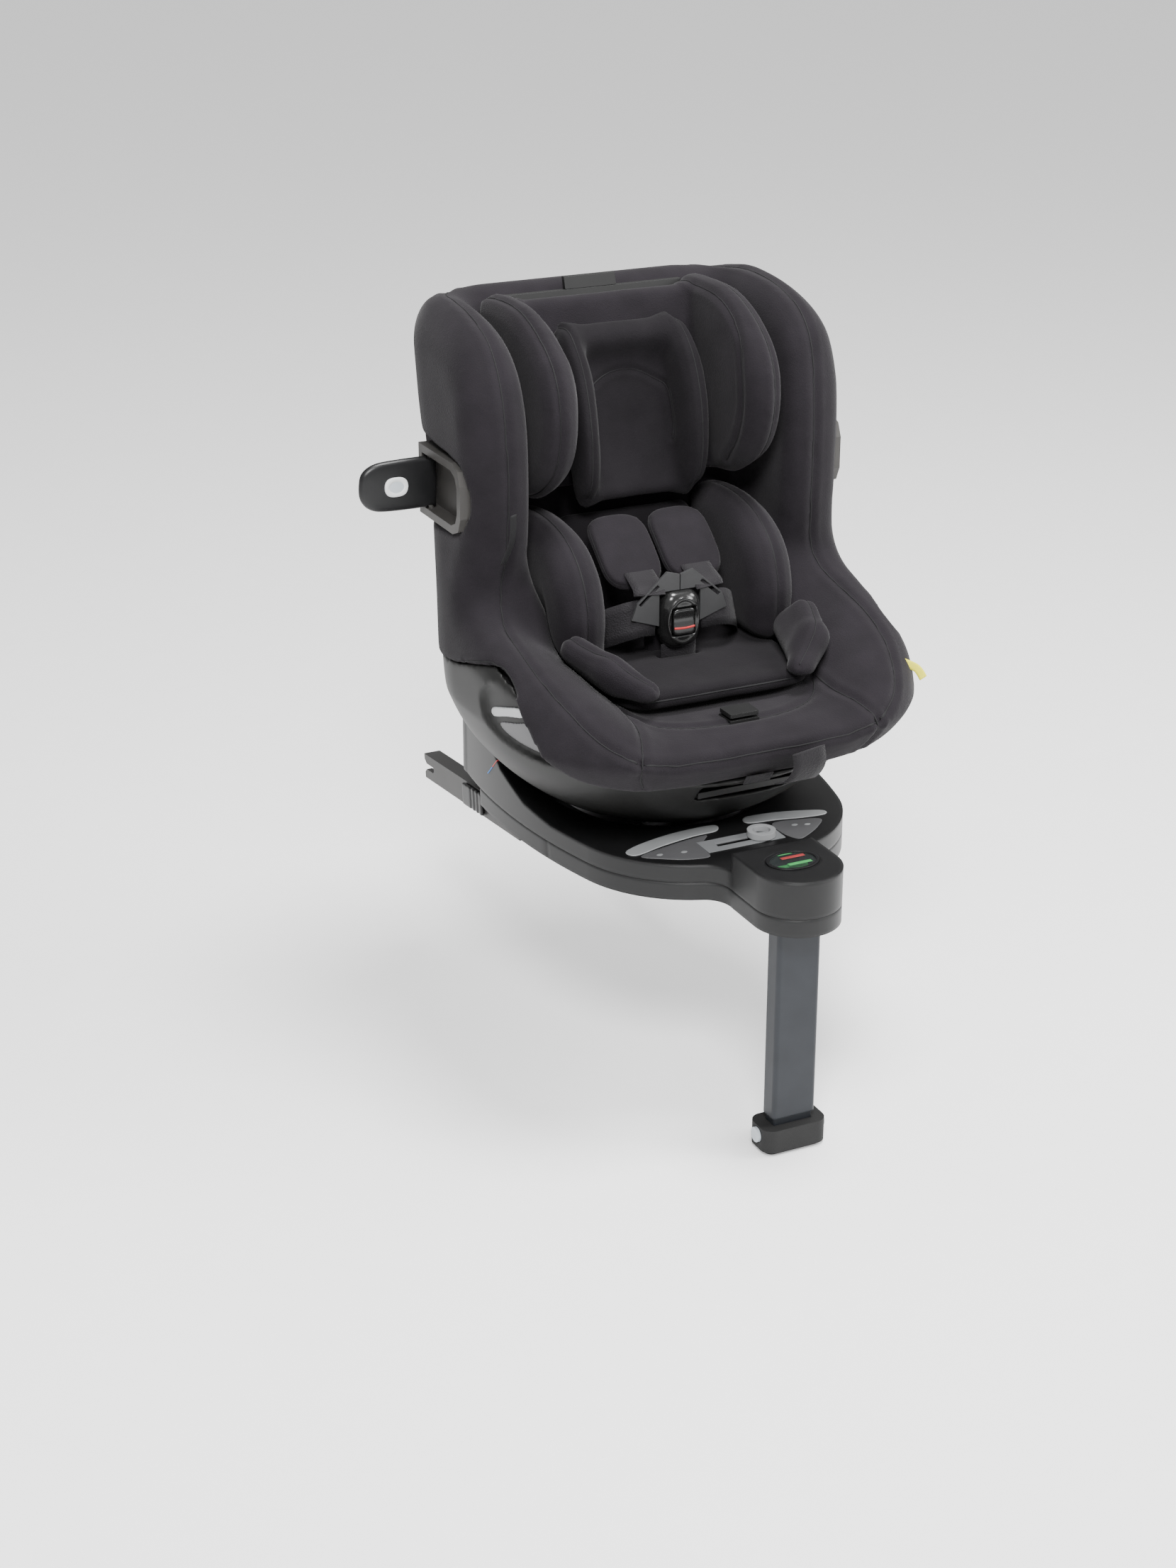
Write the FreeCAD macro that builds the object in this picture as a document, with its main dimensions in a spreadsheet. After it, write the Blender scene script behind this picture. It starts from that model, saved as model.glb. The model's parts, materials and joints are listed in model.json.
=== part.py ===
"""Convertible car seat: a padded bucket that swivels and reclines on a base.

Frame: millimetres, +Z up. The origin is on the flat underside of the base, on the swivel axis. The child
faces -Y, the rigid connector arms leave the base at +Y, and +X is the child's left.
"""
import FreeCAD, Part, Sketcher
import math
import os
import re
from FreeCAD import Placement, Rotation, Vector

SIZES = [
    ("base_half_width", 159, "half width of the base at the swivel axis"),
    ("base_rear", 175, "rear face of the base"),
    ("base_wall", 3, "wall of the base mouldings"),
    ("base_seam", 18, "height of the seam between the lower and upper base mouldings"),
    ("base_top", 36, "height of the base top at the front"),
    ("hump_top", 116, "height of the rear hump that cups the bowl"),
    ("lobe_top", 55, "height of the leg lobe"),
    ("lobe_radius", 43, "radius of the leg lobe"),
    ("leg_back", 275, "distance of the leg axis in front of the swivel axis"),
    ("gap", 0.3, "clearance between pieces that rest side by side"),
    ("running_gap", 0.5, "clearance between pieces that move past each other"),
    ("ball_level", 253, "height of the recline axis, the centre of the bowl"),
    ("bowl_radius", 243, "outer radius of the spherical bowl"),
    ("bowl_wall", 3, "wall of the bowl"),
    ("dish_gap", 4, "clearance between the bowl and the dish of the base"),
    ("disc_radius", 98, "radius of the turntable disc"),
    ("disc_level", 14.5, "underside of the turntable disc"),
    ("disc_thickness", 5.5, "thickness of the turntable disc"),
    ("spindle_radius", 15, "radius of the swivel spindle"),
    ("cradle_half", 55, "half width of the recline cradle over its cheeks"),
    ("cheek_thickness", 5, "thickness of a cradle cheek"),
    ("track_radius", 190, "radius of the recline track about the recline axis"),
    ("axle_radius", 6, "radius of a recline axle"),
    ("recline_angle", 20, "travel of the recline, in degrees"),
    ("pan_level", 128, "underside of the bucket's seat pan"),
    ("seat_level", 165, "top of the seat padding"),
    ("back_slope", 17.6, "lean of the backrest from upright, in degrees"),
    ("back_foot", 62, "place of the padded back at seat level"),
    ("shell_half_width", 204, "half width of the backrest"),
    ("hip_half_width", 220, "half width at the hips"),
    ("seat_top", 514, "height of the wings"),
    ("cover_thickness", 3, "thickness of the fabric outside the bucket"),
    ("bucket_wall", 4, "wall of the moulded bucket"),
    ("cavity_half_width", 138, "half width between the padded wings"),
    ("seat_half_width", 106, "half width between the arms"),
    ("head_half_width", 130, "half width of the headrest"),
    ("head_travel", 120, "height travel of the headrest"),
    ("leg_width", 46, "width of the leg's outer tube"),
    ("leg_depth", 22, "depth of the leg's outer tube"),
    ("leg_wall", 2, "wall of the leg's tubes"),
    ("leg_length", 205, "length of the outer tube below the base"),
    ("leg_pivot", 12, "height of the leg's pivot"),
    ("foot_drop", 8, "gap between the outer tube and the foot"),
    ("foot_height", 24, "height of the foot"),
    ("foot_half_width", 34, "half width of the foot"),
    ("foot_depth", 38, "depth of the foot"),
    ("arm_spacing", 280, "distance between the two connectors"),
    ("arm_width", 18, "width of a connector arm"),
    ("arm_height", 27, "height of a connector arm"),
    ("arm_length", 250, "length of a connector arm"),
    ("arm_droop", 5.7, "slope of the connector arms, in degrees"),
    ("anchor_radius", 3.1, "radius of the jaw that takes the 6 mm anchor bar"),
    ("pod_length", 74, "length of a side impact pod from its pin"),
    ("pod_height", 52, "height of a side impact pod"),
    ("pod_thickness", 12, "thickness of a side impact pod"),
    ("pod_pin_y", 101, "place of the pod's pin"),
    ("pod_level", 347, "middle height of the pod"),
    ("ring_radius", 14, "outer radius of the lock ring"),
    ("ring_travel", 44, "travel of the lock ring"),
    ("panel_y", 169, "distance of the lock panel in front of the swivel axis"),
    ("buckle_width", 44, "width of the buckle"),
    ("webbing_width", 38, "width of the harness webbing"),
    ("webbing_thickness", 1.6, "thickness of the harness webbing"),
]

doc = FreeCAD.newDocument("convertible_car_seat")
sheet = doc.addObject("Spreadsheet::Sheet", "sizes")
for row, (alias, value, note) in enumerate(SIZES, 1):
    sheet.set(f"A{row}", note)
    sheet.set(f"B{row}", str(value))
    sheet.setAlias(f"B{row}", alias)
doc.recompute()
ALIASES = {alias for alias, value, note in SIZES}
NODES = []


def size(alias):
    """The value of a cell of the sheet."""
    return float(sheet.get(alias))


def bound(text):
    """An expression in which each alias names its cell."""
    return re.sub(r"[a-z_]+", lambda word: f"sizes.{word[0]}" if word[0] in ALIASES else word[0], str(text))


def bind(thing, **values):
    """Bind properties to expressions; place holds the three coordinates."""
    for name, text in values.items():
        if name == "place":
            for axis, value in zip("xyz", text):
                thing.setExpression(f"Placement.Base.{axis}", bound(value))
        else:
            thing.setExpression(name, bound(text))
    return thing


def keep(label, thing):
    """List a finished piece as a node of the assembly."""
    thing.Label = label
    NODES.append(thing)
    return thing


# ---------------------------------------------------------------- helpers for pieces with simple sections
def box(name, lengths, corner):
    """A block bound to the sheet."""
    block = doc.addObject("Part::Box", name)
    return bind(block, Length=lengths[0], Width=lengths[1], Height=lengths[2], place=corner)


def rod(name, radius, length, start, direction=Vector(0, 0, 1)):
    """A round bar bound to the sheet."""
    bar = doc.addObject("Part::Cylinder", name)
    bar.Placement.Rotation = Rotation(Vector(0, 0, 1), direction)
    return bind(bar, Radius=radius, Height=length, place=start)


def cut(name, base, *tools):
    """The base less its tools."""
    for index, tool in enumerate(tools):
        result = doc.addObject("Part::Cut", f"{name}_cut{index}")
        result.Base = base
        result.Tool = tool
        base = result
    return base


def fuse(name, *parts):
    """The pieces of one moulding joined."""
    result = doc.addObject("Part::MultiFuse", f"{name}_fuse")
    result.Shapes = list(parts)
    return result


def group(name, *parts):
    """Equal, separate solids in one node."""
    result = doc.addObject("Part::Compound", f"{name}_group")
    result.Links = list(parts)
    return result


def slab(name, width, depth, height, corner, radius=None):
    """A padded rectangle with its upright edges rounded, made as a body."""
    body = doc.addObject("PartDesign::Body", name)
    sketch = body.newObject("Sketcher::SketchObject", f"{name}_sketch")
    plane = next(item for item in body.Origin.OriginFeatures if item.Role == "XY_Plane")
    sketch.AttachmentSupport = [(plane, "")]
    sketch.MapMode = "FlatFace"
    corners = [Vector(0, 0, 0), Vector(10, 0, 0), Vector(10, 10, 0), Vector(0, 10, 0)]
    for index in range(4):
        sketch.addGeometry(Part.LineSegment(corners[index], corners[(index + 1) % 4]))
    for index in range(4):
        sketch.addConstraint(Sketcher.Constraint("Coincident", index, 2, (index + 1) % 4, 1))
    for index, way in enumerate(("Horizontal", "Vertical", "Horizontal", "Vertical")):
        sketch.addConstraint(Sketcher.Constraint(way, index))
    sketch.addConstraint(Sketcher.Constraint("Coincident", 0, 1, -1, 1))
    for way, line, text in (("DistanceX", 0, width), ("DistanceY", 1, depth)):
        number = sketch.addConstraint(Sketcher.Constraint(way, line, 1, line, 2, 10))
        sketch.setExpression(f"Constraints[{number}]", bound(text))
    pad = body.newObject("PartDesign::Pad", f"{name}_pad")
    pad.Profile = sketch
    pad.setExpression("Length", bound(height))
    if radius:
        doc.recompute()
        fillet = body.newObject("PartDesign::Fillet", f"{name}_fillet")
        upright = [f"Edge{number}" for number, edge in enumerate(pad.Shape.Edges, 1)
                   if abs(edge.tangentAt(edge.FirstParameter).z) > 0.99]
        fillet.Base = (pad, upright)
        fillet.setExpression("Radius", bound(radius))
    bind(body, place=corner)
    return body


def disc(name, radius, height, centre, bore=None):
    """A padded circle, with a bore where one is given, made as a body."""
    body = doc.addObject("PartDesign::Body", name)
    sketch = body.newObject("Sketcher::SketchObject", f"{name}_sketch")
    plane = next(item for item in body.Origin.OriginFeatures if item.Role == "XY_Plane")
    sketch.AttachmentSupport = [(plane, "")]
    sketch.MapMode = "FlatFace"
    for index, text in enumerate(text for text in (radius, bore) if text):
        sketch.addGeometry(Part.Circle(Vector(0, 0, 0), Vector(0, 0, 1), 20 - 5 * index))
        sketch.addConstraint(Sketcher.Constraint("Coincident", index, 3, -1, 1))
        number = sketch.addConstraint(Sketcher.Constraint("Radius", index, 20 - 5 * index))
        sketch.setExpression(f"Constraints[{number}]", bound(text))
    pad = body.newObject("PartDesign::Pad", f"{name}_pad")
    pad.Profile = sketch
    pad.setExpression("Length", bound(height))
    bind(body, place=centre)
    return body


# ---------------------------------------------------------------- helpers for computed shapes
def computed(label, shape, placement=None):
    """A piece whose shape is worked out from the sheet."""
    feature = doc.addObject("Part::Feature", label)
    feature.Shape = shape
    if placement:
        feature.Placement = placement
    return feature


def tool(label, shape):
    """A computed shape that only cuts."""
    return computed(f"{label}_tool", shape)


def arc(*points):
    """An arc edge through three points in the XY plane."""
    return Part.Arc(*(Vector(x, y, 0) for x, y in points)).toShape()


def line(start, end):
    """A straight edge in the XY plane."""
    return Part.LineSegment(Vector(*start, 0), Vector(*end, 0)).toShape()


def prism(wire, bottom, top):
    """A wire of the XY plane raised from one height to another."""
    solid = Part.Face(wire).extrude(Vector(0, 0, top - bottom))
    solid.translate(Vector(0, 0, bottom))
    return solid


def side_prism(outline, left, right):
    """A closed outline of (y, z) points stretched across the seat."""
    corners = [Vector(left, y, z) for y, z in outline]
    return Part.Face(Part.makePolygon(corners + corners[:1])).extrude(Vector(right - left, 0, 0))


def block(left, right, front, rear, bottom, top):
    """A block between six planes."""
    return Part.makeBox(right - left, rear - front, top - bottom, Vector(left, front, bottom))


def ball(radius):
    """A sphere about the recline axis on the swivel axis."""
    return Part.makeSphere(radius, Vector(0, 0, size("ball_level")))


def rounded(half_width, front, rear, front_radius, rear_radius, level):
    """A rounded rectangle, the section of the bucket at one level."""
    w, a, b = half_width, front_radius, rear_radius
    k = 1 - math.sqrt(0.5)
    edges = [
        arc((w, front + a), (w - k * a, front + k * a), (w - a, front)),
        line((w - a, front), (a - w, front)),
        arc((a - w, front), (k * a - w, front + k * a), (-w, front + a)),
        line((-w, front + a), (-w, rear - b)),
        arc((-w, rear - b), (k * b - w, rear - k * b), (b - w, rear)),
        line((b - w, rear), (w - b, rear)),
        arc((w - b, rear), (w - k * b, rear - k * b), (w, rear - b)),
        line((w, rear - b), (w, front + a)),
    ]
    wire = Part.Wire(edges)
    wire.translate(Vector(0, 0, level))
    return wire


def back_line(level):
    """The face of the padded back at a height."""
    return size("back_foot") + (level - size("seat_level")) * math.tan(math.radians(size("back_slope")))


GAP = size("gap")
RUNNING_GAP = size("running_gap")
WALL = size("base_wall")
LEG_Y = -size("leg_back")
BACK_TILT = math.radians(size("back_slope"))


# ---------------------------------------------------------------- base mouldings
def base_outline():
    """The plan of the base: a rounded tray that runs forward into the round lobe of the leg."""
    w, rear, lobe = size("base_half_width"), size("base_rear"), size("lobe_radius")
    half = [
        arc((w - 44, rear), (w - 16, rear - 9), (w - 5, rear - 37)),
        arc((w - 5, rear - 37), (w, 20), (w - 21, -118)),
        arc((w - 21, -118), (w - 51, -172), (w - 97, -203)),
        arc((w - 97, -203), (lobe + 5, -213), (lobe, -232)),
        line((lobe, -232), (lobe, LEG_Y)),
        arc((lobe, LEG_Y), (lobe * math.sqrt(0.5), LEG_Y - lobe * math.sqrt(0.5)), (0, LEG_Y - lobe)),
    ]
    mirrored = [edge.mirror(Vector(0, 0, 0), Vector(1, 0, 0)) for edge in half]
    back = line((44 - w, rear), (w - 44, rear))
    return Part.Wire(Part.sortEdges(half + mirrored + [back])[0])


OUTLINE = base_outline()
INNER = OUTLINE.makeOffset2D(-WALL)
ARM_X = size("arm_spacing") / 2
ARM_HALF = size("arm_width") / 2
ARM_EXIT = 95.0
LEVEL_AT_EXIT = 8.0


def arm_frame():
    """The frame of the arms: local +Y runs out along the sloping arm and local Z=0 is its top face."""
    turn = Rotation(Vector(1, 0, 0), -size("arm_droop"))
    return Placement(Vector(0, ARM_EXIT, LEVEL_AT_EXIT), turn)


def along_arm(shape):
    """Move a shape from the arm frame to the frame of the seat."""
    moved = shape.copy()
    moved.Placement = arm_frame().multiply(moved.Placement)
    return moved


def pair(label, shape, *others):
    """A piece, its mirror image and what goes with them, as separate solids of one node."""
    return keep(label, computed(label, Part.makeCompound(both_sides(shape) + list(others))))


def both_sides(shape):
    """A shape and its mirror image in the plane of symmetry."""
    return [shape, shape.mirror(Vector(0, 0, 0), Vector(1, 0, 0))]


def hump_profile(drop):
    """The side outline of the base top, lowered by drop: flat in front and rising to the rear hump."""
    top, hump, rear = size("base_top") - drop, size("hump_top") - drop, size("base_rear") + 5
    return [(-400, 0), (-400, top), (-60, top), (-10, top + 6), (40, top + 24), (92, hump - 16),
            (118, hump), (140, hump), (158, hump - 18), (rear - 8, hump - 52), (rear, hump - 80), (rear, 0)]


def lower_shell():
    """The tray under the base, notched at its rear corners where the arms come out."""
    seam, exit_wall = size("base_seam"), ARM_EXIT - WALL
    notch = block(ARM_X - 16, 400, ARM_EXIT, 400, -1, seam + 1)
    guard = block(ARM_X - 16 - WALL, 400, exit_wall, 400, -1, seam + 1)
    channel = along_arm(block(ARM_X - 10.5, ARM_X + 10.3, -150, 5, -size("arm_height") - 1, 1))
    release = along_arm(block(ARM_X, ARM_X + 14.8, -64, 5, -size("arm_height") - 1, 1))
    tray = prism(OUTLINE, 0, seam)
    hollow = prism(INNER, WALL, seam + 1)
    for part in both_sides(guard):
        hollow = hollow.cut(part)
    tray = tray.cut(hollow)
    for part in both_sides(notch) + both_sides(channel) + both_sides(release):
        tray = tray.cut(part)
    half = size("leg_width") / 2 + 0.8
    return tray.cut(block(-half, half, LEG_Y - 16, -186, -1, seam + 1))


def upper_shell():
    """The upper moulding: lobe, flat front, dish for the bowl and the rear hump."""
    seam, dish = size("base_seam") + GAP, size("bowl_radius") + size("dish_gap")
    lobe_front = block(-200, 200, -400, -228, 0, size("lobe_top"))
    outer = prism(OUTLINE, seam, 200).common(side_prism(hump_profile(0), -300, 300).fuse(lobe_front))
    inside = side_prism(hump_profile(WALL), -300, 300)
    inside = inside.fuse(block(-200, 200, -400, -228 - WALL, 0, size("lobe_top") - WALL))
    well_radius = size("disc_radius") + 6
    floor = size("disc_level") - 2.5
    well = Part.makeCylinder(well_radius, 60, Vector(0, 0, floor))
    under_well = Part.makeCylinder(well_radius + WALL, 60, Vector(0, 0, floor - WALL))
    hollow = prism(INNER, seam - 1, 200).common(inside).cut(ball(dish + WALL)).cut(under_well)
    body = outer.cut(hollow)
    rest = Part.makeCylinder(well_radius + WALL, seam - floor + WALL, Vector(0, 0, floor - WALL))
    body = body.fuse(rest).cut(ball(dish)).cut(well)
    return body.removeSplitter()


LOCK_Y = -size("panel_y")
top_level = size("base_top")
slot_half = size("ring_travel") / 2 + 6
panel_seat = block(-slot_half - 14, slot_half + 14, LOCK_Y - 13, LOCK_Y + 13, top_level - 1.5, top_level + 20)
lock_slot = block(-slot_half, slot_half, LOCK_Y - 4.5, LOCK_Y + 4.5, 0.5 * top_level, top_level + 20)
window_half_x, window_half_y = 26.0, 20.0


def oval(half_x, half_y, bottom, top, x=0.0, y=0.0):
    """An upright elliptical prism."""
    ellipse = Part.Ellipse(Vector(x, y, bottom), half_x, half_y).toShape()
    return Part.Face(Part.Wire([ellipse])).extrude(Vector(0, 0, top - bottom))


WINDOW_Y = LEG_Y + 8
window_seat = oval(window_half_x + GAP, window_half_y + GAP, size("lobe_top") - 10, size("lobe_top") + 5, 0, WINDOW_Y)
spindle_hole = Part.makeCylinder(size("spindle_radius") + GAP, 60, Vector(0, 0, -5))
upper = tool("upper_shell", upper_shell())
panel_cut = tool("lock_panel", panel_seat.fuse(lock_slot))
window_cut = tool("window", window_seat)
spindle_cut = tool("spindle", spindle_hole)
keep("base_upper_shell", cut("upper", upper, panel_cut, window_cut, spindle_cut))
keep("base_lower_shell", computed("base_lower_shell", lower_shell()))

# ---------------------------------------------------------------- front panel and lobe
panel = computed("panel_plate", block(-slot_half - 14 + GAP, slot_half + 14 - GAP, LOCK_Y - 13 + GAP,
                                      LOCK_Y + 13 - GAP, top_level - 1.5, top_level + 0.6))
panel_slot = box("panel_slot", ("ring_travel + 10", "8", "20"),
                 ("-ring_travel / 2 - 5", "-panel_y - 4", "base_top - 10"))
keep("lock_panel", cut("lock_panel_plate", panel, panel_slot))

ring = disc("ring_band", "ring_radius", "6", ("ring_travel / 2", "-panel_y", "base_top + 1.2"), "8.5")
stem = box("ring_stem", ("7", "6", "17.4"), ("ring_travel / 2 - 3.5", "-panel_y - 3", "base_top - 16"))
bridge = box("ring_bridge", ("20", "6", "1.6"), ("ring_travel / 2 - 10", "-panel_y - 3", "base_top + 1.2"))
keep("lock_ring", fuse("lock_ring", ring, stem, bridge))


def info_plate():
    """A thin curved label plate beside the lock panel, pointed at its outer end."""
    inner, outer = 152.0, 190.0
    start, tip = math.radians(21), math.radians(38)
    near = [(radius * math.sin(start), -radius * math.cos(start)) for radius in (inner, outer)]
    point = (171 * math.sin(tip), -171 * math.cos(tip))
    middle = (start + tip) / 2
    low = (187 * math.sin(middle), -187 * math.cos(middle))
    high = (158 * math.sin(middle), -158 * math.cos(middle))
    wire = Part.Wire([line(near[0], near[1]), arc(near[1], low, point), arc(point, high, near[0])])
    return prism(wire, top_level + 0.05, top_level + 0.85)


pair("info_plates", info_plate())

bezel = oval(window_half_x, window_half_y, size("lobe_top") - 2, size("lobe_top") + 1.2, 0, WINDOW_Y)
bezel = bezel.cut(oval(window_half_x - 3, window_half_y - 3, 0, 80, 0, WINDOW_Y))
keep("window_bezel", computed("window_bezel", bezel))
lens = oval(window_half_x - 3 - GAP, window_half_y - 3 - GAP, size("lobe_top") - 2, size("lobe_top") + 0.4, 0, WINDOW_Y)
keep("window_lens", computed("window_lens", lens))
keep("indicator_drum", rod("indicator_drum", "6", "30", ("-15", "8 - leg_back", "lobe_top - 9.5"), Vector(1, 0, 0)))
card = box("indicator_card", ("77.2", "18", "1.5"), ("-38.6", "-leg_back - 9", "lobe_top - 18"))
ears = [box(f"indicator_ear_{index}", ("3", "7", "13"), (x, "2 - leg_back", "lobe_top - 16.5"))
        for index, x in enumerate(("-18.3", "15.3"))]
keep("indicator_tray", fuse("indicator_holder", card, *ears))

# ---------------------------------------------------------------- swivel bearing and turntable
keep("swivel_glide_ring", disc("glide_ring", "disc_radius - 3", "2.2", ("0", "0", "disc_level - 2.35"),
                               "disc_radius - 14"))
keep("turntable_disc", disc("turntable_disc", "disc_radius", "disc_thickness", ("0", "0", "disc_level"),
                            "spindle_radius + running_gap"))
keep("swivel_retainer", disc("swivel_retainer", "disc_radius + 5.7", "2.5",
                             ("0", "0", "disc_level + disc_thickness + running_gap"), "disc_radius - 5"))
spindle_post = rod("spindle_post", "spindle_radius", "disc_level + disc_thickness + running_gap - base_wall - gap",
                   ("0", "0", "base_wall + gap"))
spindle_head = rod("spindle_head", "spindle_radius + 8", "4",
                   ("0", "0", "disc_level + disc_thickness + running_gap"))
keep("swivel_spindle", fuse("swivel_spindle", spindle_post, spindle_head))

CRADLE_FLOOR = size("disc_level") + size("disc_thickness")
AXIS_Z = size("ball_level")
TRACK = size("track_radius")
AXLE_ANGLES = (4.0, 17.0)
cradle_half = size("cradle_half")


def track_point(angle, radius):
    """A point in the plane of a cheek, at an angle to the rear of straight down from the recline axis."""
    turn = math.radians(angle)
    return radius * math.sin(turn), AXIS_Z - radius * math.cos(turn)


def arc_band(inner, outer, first, last, left, right):
    """A band about the recline axis, from one angle to another, as thick as a cheek."""
    def edge_arc(radius, start, end):
        places = [track_point(angle, radius) for angle in (start, (start + end) / 2, end)]
        return Part.Arc(*(Vector(left, y, z) for y, z in places)).toShape()
    near, far = edge_arc(outer, first, last), edge_arc(inner, last, first)
    ends = [Part.LineSegment(near.lastVertex().Point, far.firstVertex().Point).toShape(),
            Part.LineSegment(far.lastVertex().Point, near.firstVertex().Point).toShape()]
    wire = Part.Wire([near, ends[0], far, ends[1]])
    return Part.Face(wire).extrude(Vector(right - left, 0, 0))


def cheek(left):
    """A cheek of the cradle, with the curved track that the recline axles run in."""
    right = left + size("cheek_thickness")
    plate = block(left, right, -68, 68, CRADLE_FLOOR, 130).cut(
        Part.makeCylinder(TRACK - 13, 300, Vector(-150, 0, AXIS_Z), Vector(1, 0, 0)))
    reach = size("axle_radius") + 0.2
    first, last = AXLE_ANGLES[0] - size("recline_angle"), AXLE_ANGLES[1]
    track = arc_band(TRACK - reach, TRACK + reach, first, last, left - 1, right + 1)
    for angle in (first, last):
        y, z = track_point(angle, TRACK)
        track = track.fuse(Part.makeCylinder(reach, right - left + 2, Vector(left - 1, y, z), Vector(1, 0, 0)))
    return plate.cut(track)


flange = block(-cradle_half - 4, cradle_half + 4, -69, 69, CRADLE_FLOOR, CRADLE_FLOOR + 4)
flange = flange.cut(Part.makeCylinder(size("spindle_radius") + 9, 40, Vector(0, 0, 0)))
cradle = flange.fuse(cheek(-cradle_half)).fuse(cheek(cradle_half - size("cheek_thickness"))).removeSplitter()
keep("recline_cradle", computed("recline_cradle", cradle))
screws = [rod(f"cradle_screw_{index}", "3", "4", (x, y, "disc_level + disc_thickness + 4"))
          for index, (x, y) in enumerate((x, y) for x in ("-30", "30") for y in ("-66", "66"))]
keep("cradle_screws", group("cradle_screws", *screws))

# ---------------------------------------------------------------- recline carriage under the seat pan
axles = []
for index, angle in enumerate(AXLE_ANGLES):
    y, z = track_point(angle, TRACK)
    axles.append(rod(f"recline_axle_{index}", "axle_radius", "2 * cradle_half + 20", ("-cradle_half - 10", y, z),
                     Vector(1, 0, 0)))
keep("recline_axles", group("recline_axles", *axles))


def hanger():
    """The plate that hangs the axles from the seat pan, just outside a cheek."""
    left = cradle_half + 1.5
    outline = [(-14, size("pan_level") - GAP), (-8, 58), (66, 66), (76, size("pan_level") - GAP)]
    plate = side_prism(outline, left, left + 6)
    for angle in AXLE_ANGLES:
        y, z = track_point(angle, TRACK)
        plate = plate.cut(Part.makeCylinder(size("axle_radius") + 0.1, 40, Vector(left - 9, y, z), Vector(1, 0, 0)))
    return plate


pair("recline_hangers", hanger())

# ---------------------------------------------------------------- bowl, bucket and cover
def envelope(inset, low=118.0):
    """The outside of the seat, inset by a thickness: hips, waist, shoulders and wings."""
    hip, shell, top = size("hip_half_width"), size("shell_half_width"), size("seat_top")
    levels = [
        (low, hip - 18, -204, 150, 150, 140),
        (150, hip, -226, 155, 150, 140),
        (190, hip, -222, 158, 140, 135),
        (250, hip - 8, -190, 168, 110, 120),
        (300, shell, -60, 176, 60, 105),
        (420, shell, -60, 203, 60, 100),
        (470, shell - 4, -60, 216, 60, 96),
        (top, shell - 16, -60, 226, 60, 90),
    ]
    wires = []
    for level, w, front, rear, front_radius, rear_radius in levels:
        if level == top:
            level = top - inset
        if level == low:
            level = low + inset
        wires.append(rounded(w - inset, front + inset, rear - inset, front_radius - inset,
                             rear_radius - inset, level))
    return Part.makeLoft(wires, True, True)


def cavity(grow):
    """The space inside the padding, grown by a thickness."""
    seat, wing = size("seat_half_width"), size("cavity_half_width")
    low = size("seat_level")
    levels = [(low - grow, seat), (200, seat + 4), (240, wing - 14), (290, wing), (size("seat_top") + 40, wing)]
    wires = [rounded(w + grow, -330, back_line(level) + grow, 30, 40 + grow, level) for level, w in levels]
    return Part.makeLoft(wires, True, True)


def opening_profile(drop):
    """The side outline of what the cover reaches: front lip, arms, wings and top, drawn in by drop."""
    d = drop
    return [(-300, 60), (-300, 168 - d), (-205, 172 - d), (-144, 198 - d), (-80, 222 - d), (-20, 246 - d),
            (4 + d, 262 - d), (-18 + d, 292), (-24 + d, 377), (-19 + d, 412), (-7 + d, 446), (10 + d, 474 - d),
            (43, 501 - d), (90, 516 - d), (300, 516 - d), (300, 60)]


def hem_profile():
    """The side outline of the bowl, up to the lower edge of the fabric."""
    return [(-300, 10), (-300, 122), (-170, 122), (-125, 140), (-60, 172), (-25, 186), (10, 188), (300, 188),
            (300, 10)]


COVER = size("cover_thickness")
POD_X = size("shell_half_width")
POD_Y = size("pod_pin_y")
POD_Z = size("pod_level")
pan = size("pan_level")


def pod_outline(grow, behind=9.0):
    """The D-shaped outline of the pod's tray in the side of the wing, in (y, z)."""
    rear, front = POD_Y + behind + grow, POD_Y - size("pod_length") - 2 - grow
    half = size("pod_height") / 2 + 1 + grow
    nose = half * 0.55
    return [(rear, POD_Z - half), (rear, POD_Z + half), (front + nose, POD_Z + half), (front + nose * 0.3,
            POD_Z + half - nose * 0.3), (front, POD_Z + half - nose), (front, POD_Z - half + nose),
            (front + nose * 0.3, POD_Z - half + nose * 0.3), (front + nose, POD_Z - half)]


TRAY_RIM = 8.0
tray_floor = POD_X - 12
tray_hole = side_prism(pod_outline(TRAY_RIM + GAP), tray_floor - 3 - GAP, POD_X + 40)
outer = envelope(0).common(side_prism(opening_profile(0), -300, 300))
slot_outer = envelope(COVER).common(side_prism(opening_profile(12), -300, 300))
slot_inner = envelope(COVER + size("bucket_wall") + 2 * GAP).cut(
    block(-300, 300, -300, 300, 0, pan + size("bucket_wall") + GAP))
front_gate = block(-size("seat_half_width"), size("seat_half_width"), -300, -150, size("seat_level") - 20, 400)
slot_shape = slot_outer.cut(slot_inner).cut(block(-300, 300, -300, 300, 0, pan - GAP)).cut(front_gate)
bucket_outer = envelope(COVER + GAP).common(side_prism(opening_profile(12 + GAP), -300, 300))
bucket_inner = envelope(COVER + GAP + size("bucket_wall")).cut(
    block(-300, 300, -300, 300, 0, pan + size("bucket_wall")))
front_gap = block(-size("seat_half_width") - GAP, size("seat_half_width") + GAP, -300, -150 + GAP,
                  size("seat_level") - 20 - GAP, 400)
bucket = bucket_outer.cut(bucket_inner).cut(block(-300, 300, -300, 300, 0, pan)).cut(front_gap)

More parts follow.
